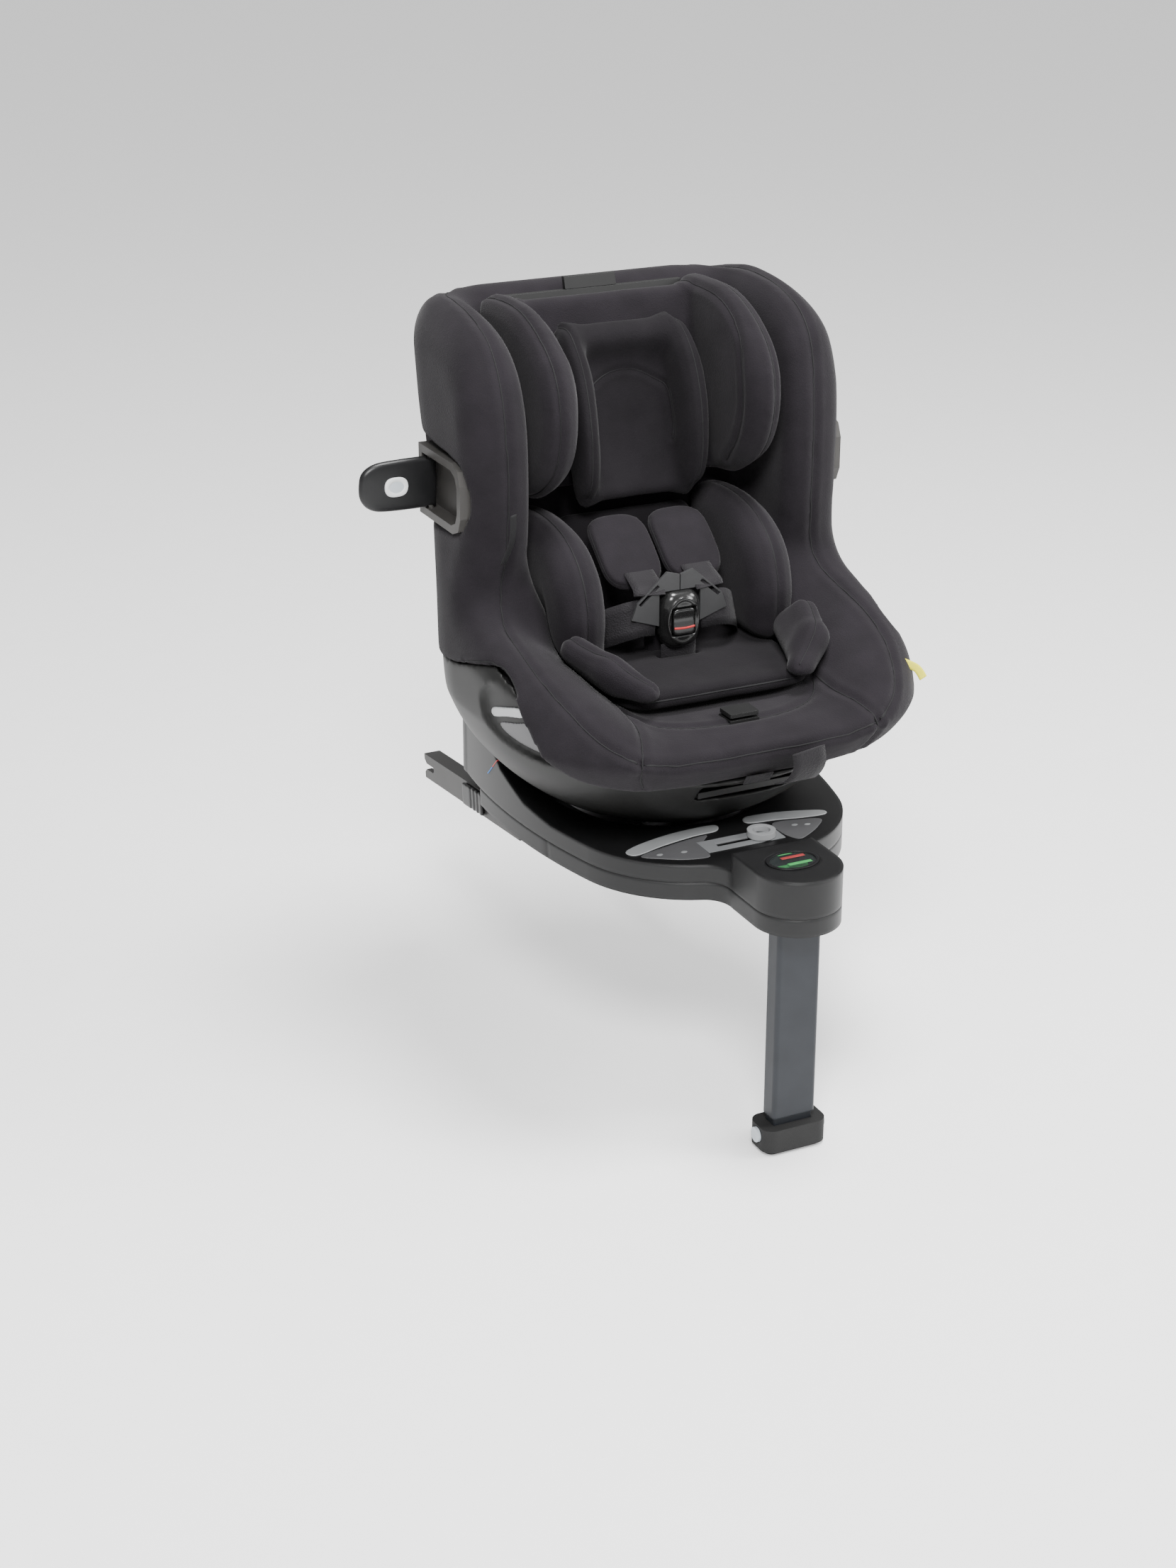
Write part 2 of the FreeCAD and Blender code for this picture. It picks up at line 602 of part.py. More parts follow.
hem = side_prism(hem_profile(), -300, 300)
cover = outer.cut(cavity(0)).cut(slot_shape)
below_pan = block(-300, 300, -300, 300, 0, pan + size("bucket_wall") + GAP)
core = envelope(COVER)
cover = cover.cut(hem.cut(core)).cut(core.common(below_pan))
for part in both_sides(tray_hole):
    cover = cover.cut(part)
    bucket = bucket.cut(part)
adjuster_pocket = block(-16, 16, -171, -147, size("seat_level") - 14, 400)
crotch_slot = block(-20, 20, -36, -30.4, size("seat_level") - 6, 400)
cover = cover.cut(adjuster_pocket).cut(crotch_slot)
keep("bucket_shell", computed("bucket_shell", bucket))
solids = sorted(cover.Solids, key=lambda solid: -solid.Volume)
keep("seat_cover", computed("seat_cover", solids[0]))


def bowl():
    """The plastic bowl under the fabric: spherical in the dish, then flaring to the hem."""
    low = 118.0
    ball_part = ball(size("bowl_radius")).common(block(-300, 300, -300, 300, 26, low))
    ball_part = ball_part.common(prism(rounded(size("hip_half_width") - 18, -204, 150, 150, 140, 0), 0, low))
    outside = ball_part.fuse(envelope(GAP, low - GAP))
    core = ball(size("bowl_radius") - size("bowl_wall")).common(block(-300, 300, -300, 300, 20, low))
    core = core.common(prism(rounded(size("hip_half_width") - 21, -201, 147, 147, 137, 0), 0, low))
    core = core.fuse(envelope(COVER - GAP, low - 4))
    opening = block(-96, 96, -82, 158, 0, 69)
    lever_gate = block(-52, 52, -250, -140, 87, 106)
    shell = outside.cut(core).common(hem).cut(opening).cut(lever_gate)
    return shell


keep("bowl_shell", computed("bowl_shell", sorted(bowl().Solids, key=lambda solid: -solid.Volume)[0]))

# ---------------------------------------------------------------- side impact pods
TRAY_BACK = tray_floor - 3
PIN_X = POD_X - 2
POD_HALF = size("pod_thickness") / 2


def pod_tray():
    """The D-shaped tray that a pod folds into, with holes for its pin."""
    tray = side_prism(pod_outline(TRAY_RIM), TRAY_BACK, POD_X + 3)
    tray = tray.cut(side_prism(pod_outline(0), tray_floor, POD_X + 20))
    reach = size("pod_height") / 2 + 6
    return tray.cut(Part.makeCylinder(2.55, 2 * reach, Vector(PIN_X, POD_Y, POD_Z - reach)))


def pod():
    """A pod in its folded place, with its pin hole and the seat of its button."""
    shape = side_prism(pod_outline(-1, 7.0), PIN_X - POD_HALF, PIN_X + POD_HALF)
    shape = shape.cut(Part.makeCylinder(2.7, 100, Vector(PIN_X, POD_Y, POD_Z - 50)))
    return shape.cut(pod_button(GAP))


def pod_button(grow=0.0):
    """The oval button on the pod's inner face."""
    ellipse = Part.Ellipse(Vector(0, 0, 0), 12 + grow, 6.5 + grow).toShape()
    button = Part.Face(Part.Wire([ellipse])).extrude(Vector(0, 0, 5 + 5 * grow))
    button.Placement = Placement(Vector(PIN_X - POD_HALF - 1.2, POD_Y - 38, POD_Z),
                                 Rotation(Vector(0, 1, 0), 90).multiply(Rotation(Vector(0, 0, 1), 90)))
    return button


def deployed(shape):
    """A shape on the left pod swung out by a right angle about the pin."""
    turned = shape.copy()
    turned.rotate(Vector(PIN_X, POD_Y, 0), Vector(0, 0, 1), 90)
    return turned


pin_reach = size("pod_height") / 2 + 5
pod_pin = Part.makeCylinder(2.5, 2 * pin_reach, Vector(PIN_X, POD_Y, POD_Z - pin_reach))
mirror = (Vector(0, 0, 0), Vector(1, 0, 0))
pair("pod_trays", pod_tray(), *both_sides(pod_pin))
keep("impact_pod_left", computed("impact_pod_left", pod()))
keep("impact_pod_right", computed("impact_pod_right", deployed(pod()).mirror(*mirror)))
keep("pod_button_left", computed("pod_button_left", pod_button()))
keep("pod_button_right", computed("pod_button_right", deployed(pod_button()).mirror(*mirror)))

# ---------------------------------------------------------------- connector arms
ARM_INNER = size("arm_length") - 325
ARM_TIP = ARM_INNER + size("arm_length")
MID = -size("arm_height") / 2
HOOK_PIN = (ARM_TIP - 50, MID - 7.5)


def connector_arm():
    """A connector arm: open jaw at the tip, slot for the hook and slot for the release slide."""
    left, right = ARM_X - ARM_HALF, ARM_X + ARM_HALF
    arm = block(left, right, ARM_INNER, ARM_TIP, -size("arm_height"), 0)
    radius, depth = size("anchor_radius"), 22
    jaw = block(left - 1, right + 1, ARM_TIP - depth, ARM_TIP + 1, MID - radius, MID + radius)
    jaw = jaw.fuse(Part.makeCylinder(radius, 40, Vector(left - 5, ARM_TIP - depth, MID), Vector(1, 0, 0)))
    mouth = side_prism([(ARM_TIP - 9, MID), (ARM_TIP + 1, MID - 8), (ARM_TIP + 1, MID + 8)], left - 1, right + 1)
    slot = block(ARM_X - 2.8, ARM_X + 2.8, ARM_TIP - 62, ARM_TIP + 1, 2 - size("arm_height"), -2)
    slide = block(ARM_X + 5, ARM_X + 12, 15, 50, MID - 4, MID + 4)
    pin = Part.makeCylinder(2.05, 40, Vector(ARM_X - 20, *HOOK_PIN), Vector(1, 0, 0))
    return along_arm(arm.cut(jaw).cut(mouth).cut(slot).cut(slide).cut(pin))


def hook():
    """The hook that swings up to close the jaw."""
    y, z = HOOK_PIN
    outline = [(y - 3.6, z - 2.6), (y, z - 3.5), (y + 45, z - 3.5), (y + 45, z + 2.6), (y + 40, z + 3.8),
               (y + 36, z + 2.6), (y - 3.6, z + 3.5)]
    plate = side_prism(outline, ARM_X - 2.5, ARM_X + 2.5)
    return along_arm(plate.cut(Part.makeCylinder(2.1, 40, Vector(ARM_X - 20, y, z), Vector(1, 0, 0))))


def release_slide():
    """The release slide on the outer face of an arm."""
    outer_face = ARM_X + ARM_HALF + GAP
    plate = block(outer_face, outer_face + 4, 12, 62, 1.5 - size("arm_height"), -1.5)
    for number in range(3):
        rib = 18 + 9 * number
        plate = plate.cut(block(outer_face + 3, outer_face + 9, rib, rib + 5, -40, 10))
    return along_arm(plate.fuse(block(ARM_X + 5.4, outer_face, 28, 49, MID - 3.6, MID + 3.6)))


def arm_rail():
    """The guide that an arm runs under inside the base."""
    left = ARM_X - ARM_HALF - RUNNING_GAP
    rail = block(left - 2, ARM_X + ARM_HALF + 0.5, -135, -4.5, RUNNING_GAP, RUNNING_GAP + 2)
    rail = along_arm(rail.fuse(block(left - 2, left, -135, -4.5, -30, RUNNING_GAP + 2)))
    return rail.cut(block(-300, 300, -300, 300, -60, WALL + GAP))


hook_pin = along_arm(Part.makeCylinder(2, size("arm_width"), Vector(ARM_X - ARM_HALF, *HOOK_PIN), Vector(1, 0, 0)))
arm_and_pin = Part.makeCompound([connector_arm(), hook_pin])
for name, shape in (("connector_arm", arm_and_pin), ("connector_hook", hook()), ("release_slide", release_slide())):
    for side, piece in zip(("left", "right"), both_sides(shape)):
        keep(f"{name}_{side}", computed(f"{name}_{side}", piece))
pair("arm_rails", arm_rail())

# ---------------------------------------------------------------- support leg
leg_half = size("leg_width") / 2
cheek_in = leg_half + 1
bracket = block(-cheek_in - 4, cheek_in + 4, LEG_Y - 13, LEG_Y + 13, WALL + GAP, 34)
bracket = bracket.cut(block(-cheek_in, cheek_in, LEG_Y - 20, LEG_Y + 20, 0, 31))
bracket = bracket.cut(Part.makeCylinder(4.1, 100, Vector(-50, LEG_Y, size("leg_pivot")), Vector(1, 0, 0)))
keep("leg_bracket", computed("leg_bracket", bracket))
keep("leg_pivot_pin", rod("leg_pivot_pin", "4", "leg_width + 12", ("-leg_width / 2 - 6", "-leg_back", "leg_pivot"),
                          Vector(1, 0, 0)))
LEG_TOP = "leg_pivot + 10"
tube = slab("leg_tube", "leg_width", "leg_depth", "leg_length + leg_pivot + 10",
            ("-leg_width / 2", "-leg_back - leg_depth / 2", "-leg_length"), "4")
tube_bore = slab("leg_tube_bore", "leg_width - 2 * leg_wall", "leg_depth - 2 * leg_wall", "leg_length + 60",
                 ("-leg_width / 2 + leg_wall", "-leg_back - leg_depth / 2 + leg_wall", "-leg_length - 10"), "2")
pin_bore = rod("leg_pin_bore", "4.15", "100", ("-50", "-leg_back", "leg_pivot"), Vector(1, 0, 0))
keep("leg_outer_tube", cut("leg_outer", tube, tube_bore, pin_bore))
inner_w, inner_d = "leg_width - 2 * leg_wall - 1", "leg_depth - 2 * leg_wall - 1"
inner = slab("inner_tube", inner_w, inner_d, "200", (f"-({inner_w}) / 2", f"-leg_back - ({inner_d}) / 2",
             "-leg_length - foot_drop - 13"), "1.5")
inner_bore = slab("inner_bore", f"{inner_w} - 2 * leg_wall", f"{inner_d} - 2 * leg_wall", "240",
                  (f"-({inner_w}) / 2 + leg_wall", f"-leg_back - ({inner_d}) / 2 + leg_wall", "-leg_length - 30"),
                  "0.5")
keep("leg_inner_tube", cut("leg_inner", inner, inner_bore))
foot = slab("foot_block", "2 * foot_half_width", "foot_depth", "foot_height",
            ("-foot_half_width", "-leg_back - foot_depth / 2", "-leg_length - foot_drop - foot_height"), "12")
socket = box("foot_socket", (f"{inner_w} + 0.2", f"{inner_d} + 0.2", "60"),
             (f"-({inner_w}) / 2 - 0.1", f"-leg_back - ({inner_d}) / 2 - 0.1", "-leg_length - foot_drop - 13.1"))
sole_bay = slab("sole_bay", "2 * foot_half_width - 8", "foot_depth - 8", "9",
                ("4 - foot_half_width", "4 - leg_back - foot_depth / 2", "-leg_length - foot_drop - 3 - foot_height"), "8")
bays = [rod(f"foot_button_bay_{index}", "7.8", "30", (x, "-leg_back", "-leg_length - foot_drop - 10"), Vector(1, 0, 0))
        for index, x in enumerate(("foot_half_width - 7", "-foot_half_width - 23"))]
keep("leg_foot", cut("leg_foot", foot, socket, sole_bay, *bays))
keep("foot_sole", slab("foot_sole", "2 * foot_half_width - 9", "foot_depth - 9", "7",
                       ("4.5 - foot_half_width", "4.5 - leg_back - foot_depth / 2",
                        "-leg_length - foot_drop - 3.5 - foot_height"), "7.5"))
for side, x in (("left", "foot_half_width - 4.5"), ("right", "-foot_half_width - 2.5")):
    keep(f"foot_button_{side}", rod(f"foot_button_{side}", "7.5", "7", (x, "-leg_back", "-leg_length - foot_drop - 10"),
                                    Vector(1, 0, 0)))

# ---------------------------------------------------------------- headrest
HEAD = size("head_half_width")
PAD_DEPTH = 31.0
PLATE = 6.0


def leaning(bottom, top, rear, front, left, right):
    """A slab that leans with the back, between two depths in front of it."""
    outline = [(back_line(bottom) - rear, bottom), (back_line(top) - rear, top),
               (back_line(top) - front, top), (back_line(bottom) - front, bottom)]
    return side_prism(outline, left, right)


def headrest_pad():
    """The U-shaped headrest: a centre panel and two deep bolsters."""
    bolster = [(back_line(322) - 7, 322), (back_line(512) - 7, 512), (110, 512), (55, 503), (7, 474), (-12, 445),
               (-15, 404), (1, 365), (37, 335), (65, 322)]
    pad = leaning(318, 512, PLATE + 2 * GAP + 0.4, PLATE + PAD_DEPTH, -88, 88)
    for part in both_sides(side_prism(bolster, 86, HEAD)):
        pad = pad.fuse(part)
    return pad.removeSplitter().common(cavity(-RUNNING_GAP))


keep("headrest_plate", computed("headrest_plate", leaning(326, 504, RUNNING_GAP, PLATE, -100, 100)))
keep("headrest_pad", computed("headrest_pad", headrest_pad()))
insert = leaning(300, 468, PLATE + PAD_DEPTH + GAP, 56, -46, 46)
for part in both_sides(leaning(300, 466, PLATE + PAD_DEPTH + GAP, 96, 44, 74)):
    insert = insert.fuse(part)
keep("head_insert", computed("head_insert", insert.removeSplitter()))
keep("headrest_handle", computed("headrest_handle", leaning(504 + GAP, 516, RUNNING_GAP, PLATE, -28, 28)))

# ---------------------------------------------------------------- padded inserts
inner_space = cavity(-GAP)
SEAT = size("seat_level")
back_pad = leaning(181, 299, GAP, 24, -74, 74).common(inner_space)
wing_outline = [(-46, 180.6), (-56, 238), (-30, 285), (30, 309), (104, 309), (64, 180.6)]
seat_pad = block(-105, 105, -128, 80, SEAT + GAP, 180).common(inner_space)
seat_pad = seat_pad.cut(block(-20, 20, -36, -30.4, 0, 400))
hip_outline = [(-126, 180.3), (-118, 205), (-96, 221), (-66, 219), (-58, 205), (-58, 180.3)]
keep("insert_back_pad", computed("insert_back_pad", back_pad))
keep("insert_seat_pad", computed("insert_seat_pad", seat_pad))
for name, outline, first in (("insert_side_pads", wing_outline, 74.6), ("insert_hip_pads", hip_outline, 82.0)):
    pair(name, side_prism(outline, first, 150).common(inner_space))

# ---------------------------------------------------------------- harness
thick = size("webbing_thickness")
buckle_half = size("buckle_width") / 2
buckle = slab("buckle_block", "buckle_width", "26", "58", ("-buckle_width / 2", "-46", "190"), "9")
button_bay = slab("buckle_bay", "25", "20", "27.6", ("-12.5", "-56", "204.7"), "3")
keep("buckle_housing", cut("buckle", buckle, button_bay))
keep("buckle_button", slab("buckle_button", "24", "6", "27", ("-12", "-46.8", "205"), "2.5"))
keep("crotch_strap", box("crotch_strap", ("webbing_width", "webbing_thickness", "30"),
                         ("-webbing_width / 2", "-34", "seat_level - 5.5")))
keep("crotch_pad", slab("crotch_pad", "52", "8", "52", ("-26", "-19.6", "180.4"), "3"))


def tongue():
    """The metal tongue beside and over the buckle, with the slot for the webbing."""
    outline = [(buckle_half + GAP, 214), (52, 224), (46, 240), (14, 268), (0.5, 264), (0.5, 248.4),
               (buckle_half + GAP, 248.4)]
    corners = [Vector(x, -36, z) for x, z in outline]
    plate = Part.Face(Part.makePolygon(corners + corners[:1])).extrude(Vector(0, 3, 0))
    slot_corners = [Vector(x, -40, z) for x, z in ((22, 254), (42, 236.5), (44.5, 239), (24.5, 256.5))]
    slot = Part.Face(Part.makePolygon(slot_corners + slot_corners[:1])).extrude(Vector(0, 12, 0))
    return plate.cut(slot)


strap_pad = side_prism([(-12, 254), (-4, 246), (52, 292), (48, 298), (38, 297)], 3, 57)
strap_pad = strap_pad.fuse(side_prism([(40, 290), (79, 296.4), (79, 298.4), (40, 297)], 11, 49))
strap_pad = strap_pad.fuse(side_prism([(-32.6, 249), (-32.6, 251), (-8, 254), (-6, 249)], 24, 50)).removeSplitter()
lap_strap = block(buckle_half + 24, 71.5, -32.6, -31, 205, 239)
for name, shape in (("buckle_tongues", tongue()), ("shoulder_straps", strap_pad), ("lap_straps", lap_strap)):
    pair(name, shape)
webbing = ball(size("bowl_radius") + GAP + thick).cut(ball(size("bowl_radius") + GAP))
webbing = webbing.common(block(-14, 14, -300, 0, 107, 117.4))
keep("adjuster_strap", computed("adjuster_strap", webbing))
keep("adjuster_housing", box("adjuster_housing", ("31", "23", "10"), ("-15.5", "-170.5", "seat_level - 13.7")))
keep("adjuster_button", slab("adjuster_button", "30.6", "22.6", "4", ("-15.3", "-170.3", "seat_level - 1.2"), "2"))

# ---------------------------------------------------------------- recline lever
keep("recline_lever", computed("recline_lever", block(-50, 50, -174, -126, 90, 96).cut(
    Part.makeCylinder(2.1, 140, Vector(-70, -130, 93), Vector(1, 0, 0)))))
lever_ear = block(51, 57, -137, -123, 88, pan - GAP).cut(
    Part.makeCylinder(2.05, 140, Vector(-70, -130, 93), Vector(1, 0, 0)))
pair("lever_mounts", lever_ear, Part.makeCylinder(2, 114, Vector(-57, -130, 93), Vector(1, 0, 0)))

# ---------------------------------------------------------------- write
doc.recompute()
faults = [item.Name for item in doc.Objects if "Invalid" in item.State or "Error" in item.State]
faults += [item.Label for item in NODES if item.Shape.isNull() or not item.Shape.isValid()]
if faults:
    raise SystemExit(f"failed objects: {faults}")
os.makedirs("parts", exist_ok=True)
for item in NODES:
    item.Shape.exportStep(f"parts/{item.Label}.step")
    print(item.Label, len(item.Shape.Solids), round(item.Shape.Volume))
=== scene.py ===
"""Looks of a convertible car seat: padded seat on a swivel base with a support leg.

Soft and moulded pieces are built as distance fields in millimetres in the row frame
(+Z up, -Y forward, +X the child's left) and skinned with OpenVDB. Everything else is
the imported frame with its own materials.
"""
import json
import math

import bmesh
import bpy
import numpy as np
import openvdb
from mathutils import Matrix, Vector
from mathutils.bvhtree import BVHTree
from mathutils.kdtree import KDTree

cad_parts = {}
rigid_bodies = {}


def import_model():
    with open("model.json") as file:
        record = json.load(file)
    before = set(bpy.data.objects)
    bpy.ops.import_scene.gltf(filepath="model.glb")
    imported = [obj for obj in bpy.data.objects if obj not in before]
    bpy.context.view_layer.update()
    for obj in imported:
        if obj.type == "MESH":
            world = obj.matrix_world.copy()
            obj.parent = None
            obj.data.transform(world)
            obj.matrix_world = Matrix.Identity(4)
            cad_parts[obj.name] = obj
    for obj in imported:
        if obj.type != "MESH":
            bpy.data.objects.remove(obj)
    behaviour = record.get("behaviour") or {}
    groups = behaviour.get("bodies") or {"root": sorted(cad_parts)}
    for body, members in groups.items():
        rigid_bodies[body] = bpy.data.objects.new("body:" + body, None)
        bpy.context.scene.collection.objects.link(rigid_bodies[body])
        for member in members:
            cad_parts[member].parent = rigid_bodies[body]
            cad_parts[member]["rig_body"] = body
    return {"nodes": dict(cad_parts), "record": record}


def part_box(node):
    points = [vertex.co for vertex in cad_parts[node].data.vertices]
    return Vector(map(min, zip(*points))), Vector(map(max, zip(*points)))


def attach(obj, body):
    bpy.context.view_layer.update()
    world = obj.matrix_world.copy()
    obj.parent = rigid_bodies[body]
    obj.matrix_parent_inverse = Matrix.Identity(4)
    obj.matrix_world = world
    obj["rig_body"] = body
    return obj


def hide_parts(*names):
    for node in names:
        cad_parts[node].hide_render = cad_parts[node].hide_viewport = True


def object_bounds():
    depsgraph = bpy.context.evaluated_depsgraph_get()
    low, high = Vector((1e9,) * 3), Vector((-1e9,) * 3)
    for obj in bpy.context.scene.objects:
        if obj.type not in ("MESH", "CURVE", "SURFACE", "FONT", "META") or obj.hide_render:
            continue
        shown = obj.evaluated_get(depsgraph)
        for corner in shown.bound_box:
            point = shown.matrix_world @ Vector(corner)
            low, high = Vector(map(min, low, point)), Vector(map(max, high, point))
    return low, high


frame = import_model()
cad_low, cad_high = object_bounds()
nodes = frame["nodes"]
MM = 0.001

# ---------------------------------------------------------------- materials


CLOUD_SCALE = 35.0


def look(name, colour, roughness, grain=0.0, grain_size=1.0, sheen=0.0, metallic=0.0, mottle=0.12,
         coat=0.0,
         edge=0.0, weave="VORONOI", shine=0.35):
    """A material with mottled colour, a fine raised grain and softened edges; sizes in mm."""
    made = bpy.data.materials.new(name)
    made.use_nodes = True
    tree = made.node_tree
    link = tree.links.new
    shader = tree.nodes["Principled BSDF"]
    for socket, value in (("Roughness", roughness), ("Metallic", metallic), ("Sheen Weight", sheen),
                          ("Sheen Roughness", 0.45), ("Coat Weight", coat), ("Coat Roughness", 0.2),
                          ("Specular IOR Level", shine)):
        shader.inputs[socket].default_value = value
    place = tree.nodes.new("ShaderNodeTexCoord")
    cloud = tree.nodes.new("ShaderNodeTexNoise")
    cloud.inputs["Scale"].default_value = CLOUD_SCALE
    cloud.inputs["Detail"].default_value = 6.0
    ramp = tree.nodes.new("ShaderNodeValToRGB")
    for stop, at, gain in zip(ramp.color_ramp.elements, (0.3, 0.7), (1 - mottle, 1 + mottle)):
        stop.position = at
        stop.color = (*[gain * part for part in colour], 1.0)
    link(place.outputs["Object"], cloud.inputs["Vector"])
    link(cloud.outputs["Fac"], ramp.inputs["Fac"])
    link(ramp.outputs["Color"], shader.inputs["Base Color"])
    normal = None
    if edge:
        soften = tree.nodes.new("ShaderNodeBevel")
        soften.samples = 4
        soften.inputs["Radius"].default_value = edge * MM
        normal = soften.outputs["Normal"]
    if grain:
        cells = tree.nodes.new("ShaderNodeTexVoronoi" if weave == "VORONOI" else "ShaderNodeTexNoise")
        cells.inputs["Scale"].default_value = 1 / (grain_size * MM)
        bump = tree.nodes.new("ShaderNodeBump")
        bump.inputs["Strength"].default_value = grain
        bump.inputs["Distance"].default_value = grain_size * MM / 3
        link(place.outputs["Object"], cells.inputs["Vector"])
        link(cells.outputs["Distance" if weave == "VORONOI" else "Fac"], bump.inputs["Height"])
        if normal:
            link(normal, bump.inputs["Normal"])
        normal = bump.outputs["Normal"]
    if normal:
        link(normal, shader.inputs["Normal"])
    return made


KNIT = look("charcoal_knit", (0.0125, 0.0108, 0.0130), 0.92, 0.7, 1.1, sheen=0.065, shine=0.1)
# painted shade: a darker, less sheeny copy of the knit, for the inserts set back in the well and the headrest
KNIT_SHADED = look("charcoal_knit_inner", (0.0085, 0.0075, 0.0088), 0.92, 0.7, 1.1, sheen=0.035, shine=0.1)
THREAD = look("seam_thread", (0.004, 0.0038, 0.0045), 0.8, 0.4, 0.5)
WEBBING = look("webbing", (0.012, 0.0108, 0.0125), 0.75, 0.8, 1.6, sheen=0.05, shine=0.2)
BOWL = look("bowl_plastic", (0.0085, 0.0085, 0.0082), 0.48, 0.25, 0.6, weave="NOISE", shine=0.25)
BASE = look("base_plastic", (0.0065, 0.0065, 0.0068), 0.42, 0.22, 0.5, edge=5.0, weave="NOISE", shine=0.3)
INNER = look("inner_plastic", (0.008, 0.008, 0.008), 0.55, 0.3, 0.6, edge=0.6, weave="NOISE")
LEG = look("blue_grey_tube", (0.017, 0.019, 0.023), 0.42, 0.12, 0.4, metallic=0.25, edge=2.2,
           weave="NOISE")
ARM = look("grey_arm", (0.030, 0.029, 0.028), 0.45, 0.15, 0.5, metallic=0.2, edge=1.2, weave="NOISE")
STEEL = look("plain_steel", (0.45, 0.45, 0.46), 0.35, 0.1, 0.3, metallic=1.0, mottle=0.05, edge=0.4,
             weave="NOISE")
SILVER = look("silver_print", (0.36, 0.37, 0.375), 0.38, 0.1, 0.4, metallic=0.35, mottle=0.05,
              weave="NOISE")
SLOT = look("slot_grey", (0.17, 0.175, 0.18), 0.4, 0.1, 0.4, mottle=0.05, edge=0.8, weave="NOISE")
PANEL = look("panel_dark", (0.085, 0.085, 0.088), 0.38, 0.15, 0.5, mottle=0.06, edge=0.5, weave="NOISE")
RING = look("ring_grey", (0.28, 0.285, 0.29), 0.32, 0.1, 0.4, mottle=0.05, coat=0.3, edge=1.0,
            weave="NOISE")
WARM = look("warm_grey_rim", (0.040, 0.038, 0.036), 0.5, 0.2, 0.5, edge=1.0, weave="NOISE")
POD = look("pod_black", (0.006, 0.006, 0.0065), 0.38, 0.2, 0.5, edge=0.8, weave="NOISE")
BUTTON = look("button_grey", (0.42, 0.46, 0.49), 0.35, 0.1, 0.4, mottle=0.05, coat=0.3, edge=0.6,
              weave="NOISE")
WHITE = look("white_rim", (0.62, 0.63, 0.63), 0.4, 0.1, 0.4, mottle=0.04, weave="NOISE")
BUCKLE = look("buckle_gloss", (0.009, 0.009, 0.009), 0.22, 0.06, 0.4, coat=0.4, edge=0.6, weave="NOISE")
TONGUE = look("tongue_grey", (0.030, 0.030, 0.031), 0.5, 0.2, 0.5, edge=0.6, weave="NOISE")
RED = look("red_mark", (0.45, 0.035, 0.035), 0.4, 0.1, 0.4, weave="NOISE")
GREEN = look("green_mark", (0.05, 0.42, 0.10), 0.4, 0.1, 0.4, weave="NOISE")
BLUE = look("blue_mark", (0.03, 0.16, 0.45), 0.4, 0.1, 0.4, weave="NOISE")
YELLOW = look("yellow_elastic", (0.62, 0.58, 0.03), 0.7, 0.4, 0.6)
RUBBER = look("sole_rubber", (0.011, 0.011, 0.011), 0.75, 0.4, 1.0, edge=0.6)

# ---------------------------------------------------------------- distance fields, in mm


def smooth_max(a, b, k):
    """The larger of two fields, with the corner between them rounded over about k."""
    h = np.maximum(k - np.abs(a - b), 0) / k
    return np.maximum(a, b) + h * h * k / 4


def smooth_min(a, b, k):
    """The smaller of two fields, with the crease between them filled over about k."""
    return -smooth_max(-a, -b, k)


def curve(points, closed=True, steps=6):
    """A smooth curve through the points."""
    points = [np.asarray(p, float) for p in points]
    count = len(points)
    made = []
    for i in range(count if closed else count - 1):
        a, b, c, d = (points[(i + j) % count] if closed else points[min(max(i + j, 0), count - 1)]
                      for j in (-1, 0, 1, 2))
        for step in range(steps):
            t = step / steps
            made.append(0.5 * (2 * b + (c - a) * t + (2 * a - 5 * b + 4 * c - d) * t**2
                               + (3 * b - a - 3 * c + d) * t**3))
    if not closed:
        made.append(points[-1])
    return made


def outline(points, u, v):
    """The signed distance to a closed outline: negative inside."""
    best, inside = None, None
    for (au, av), (bu, bv) in zip(points, points[1:] + points[:1]):
        eu, ev = bu - au, bv - av
        length = max(eu * eu + ev * ev, 1e-9)
        t = np.clip(((u - au) * eu + (v - av) * ev) / length, 0, 1)
        gap = (u - au - t * eu) ** 2 + (v - av - t * ev) ** 2
        crossing = ((av > v) != (bv > v)) & (u < (bu - au) * (v - av) / (bv - av if bv != av else 1e-9) + au)
        best = gap if best is None else np.minimum(best, gap)
        inside = crossing if inside is None else inside ^ crossing
    return np.where(inside, -1, 1) * np.sqrt(best)


def capsule(x, y, z, start, end, radius):
    """The distance to a round bar from start to end."""
    a, b = np.asarray(start, float), np.asarray(end, float)
    e = b - a
    dx, dy, dz = x - a[0], y - a[1], z - a[2]
    t = np.clip((dx * e[0] + dy * e[1] + dz * e[2]) / (e @ e), 0, 1)
    return np.sqrt((dx - t * e[0]) ** 2 + (dy - t * e[1]) ** 2 + (dz - t * e[2]) ** 2) - radius


def add_mesh(name, points, faces, material):
    """A smooth-shaded object from points in mm."""
    mesh = bpy.data.meshes.new(name)
    mesh.from_pydata([tuple(float(c) * MM for c in p) for p in points], [],
                     [tuple(int(i) for i in f) for f in faces])
    mesh.polygons.foreach_set("use_smooth", [True] * len(mesh.polygons))
    mesh.materials.append(material)
    mesh.update()
    made = bpy.data.objects.new(name, mesh)
    bpy.context.scene.collection.objects.link(made)
    return made


def turn_outward(made):
    """Makes every face of a closed mesh point outward."""
    work = bmesh.new()
    work.from_mesh(made.data)
    bmesh.ops.recalc_face_normals(work, faces=work.faces)
    if work.calc_volume(signed=True) < 0:
        bmesh.ops.reverse_faces(work, faces=work.faces)
    work.to_mesh(made.data)
    work.free()


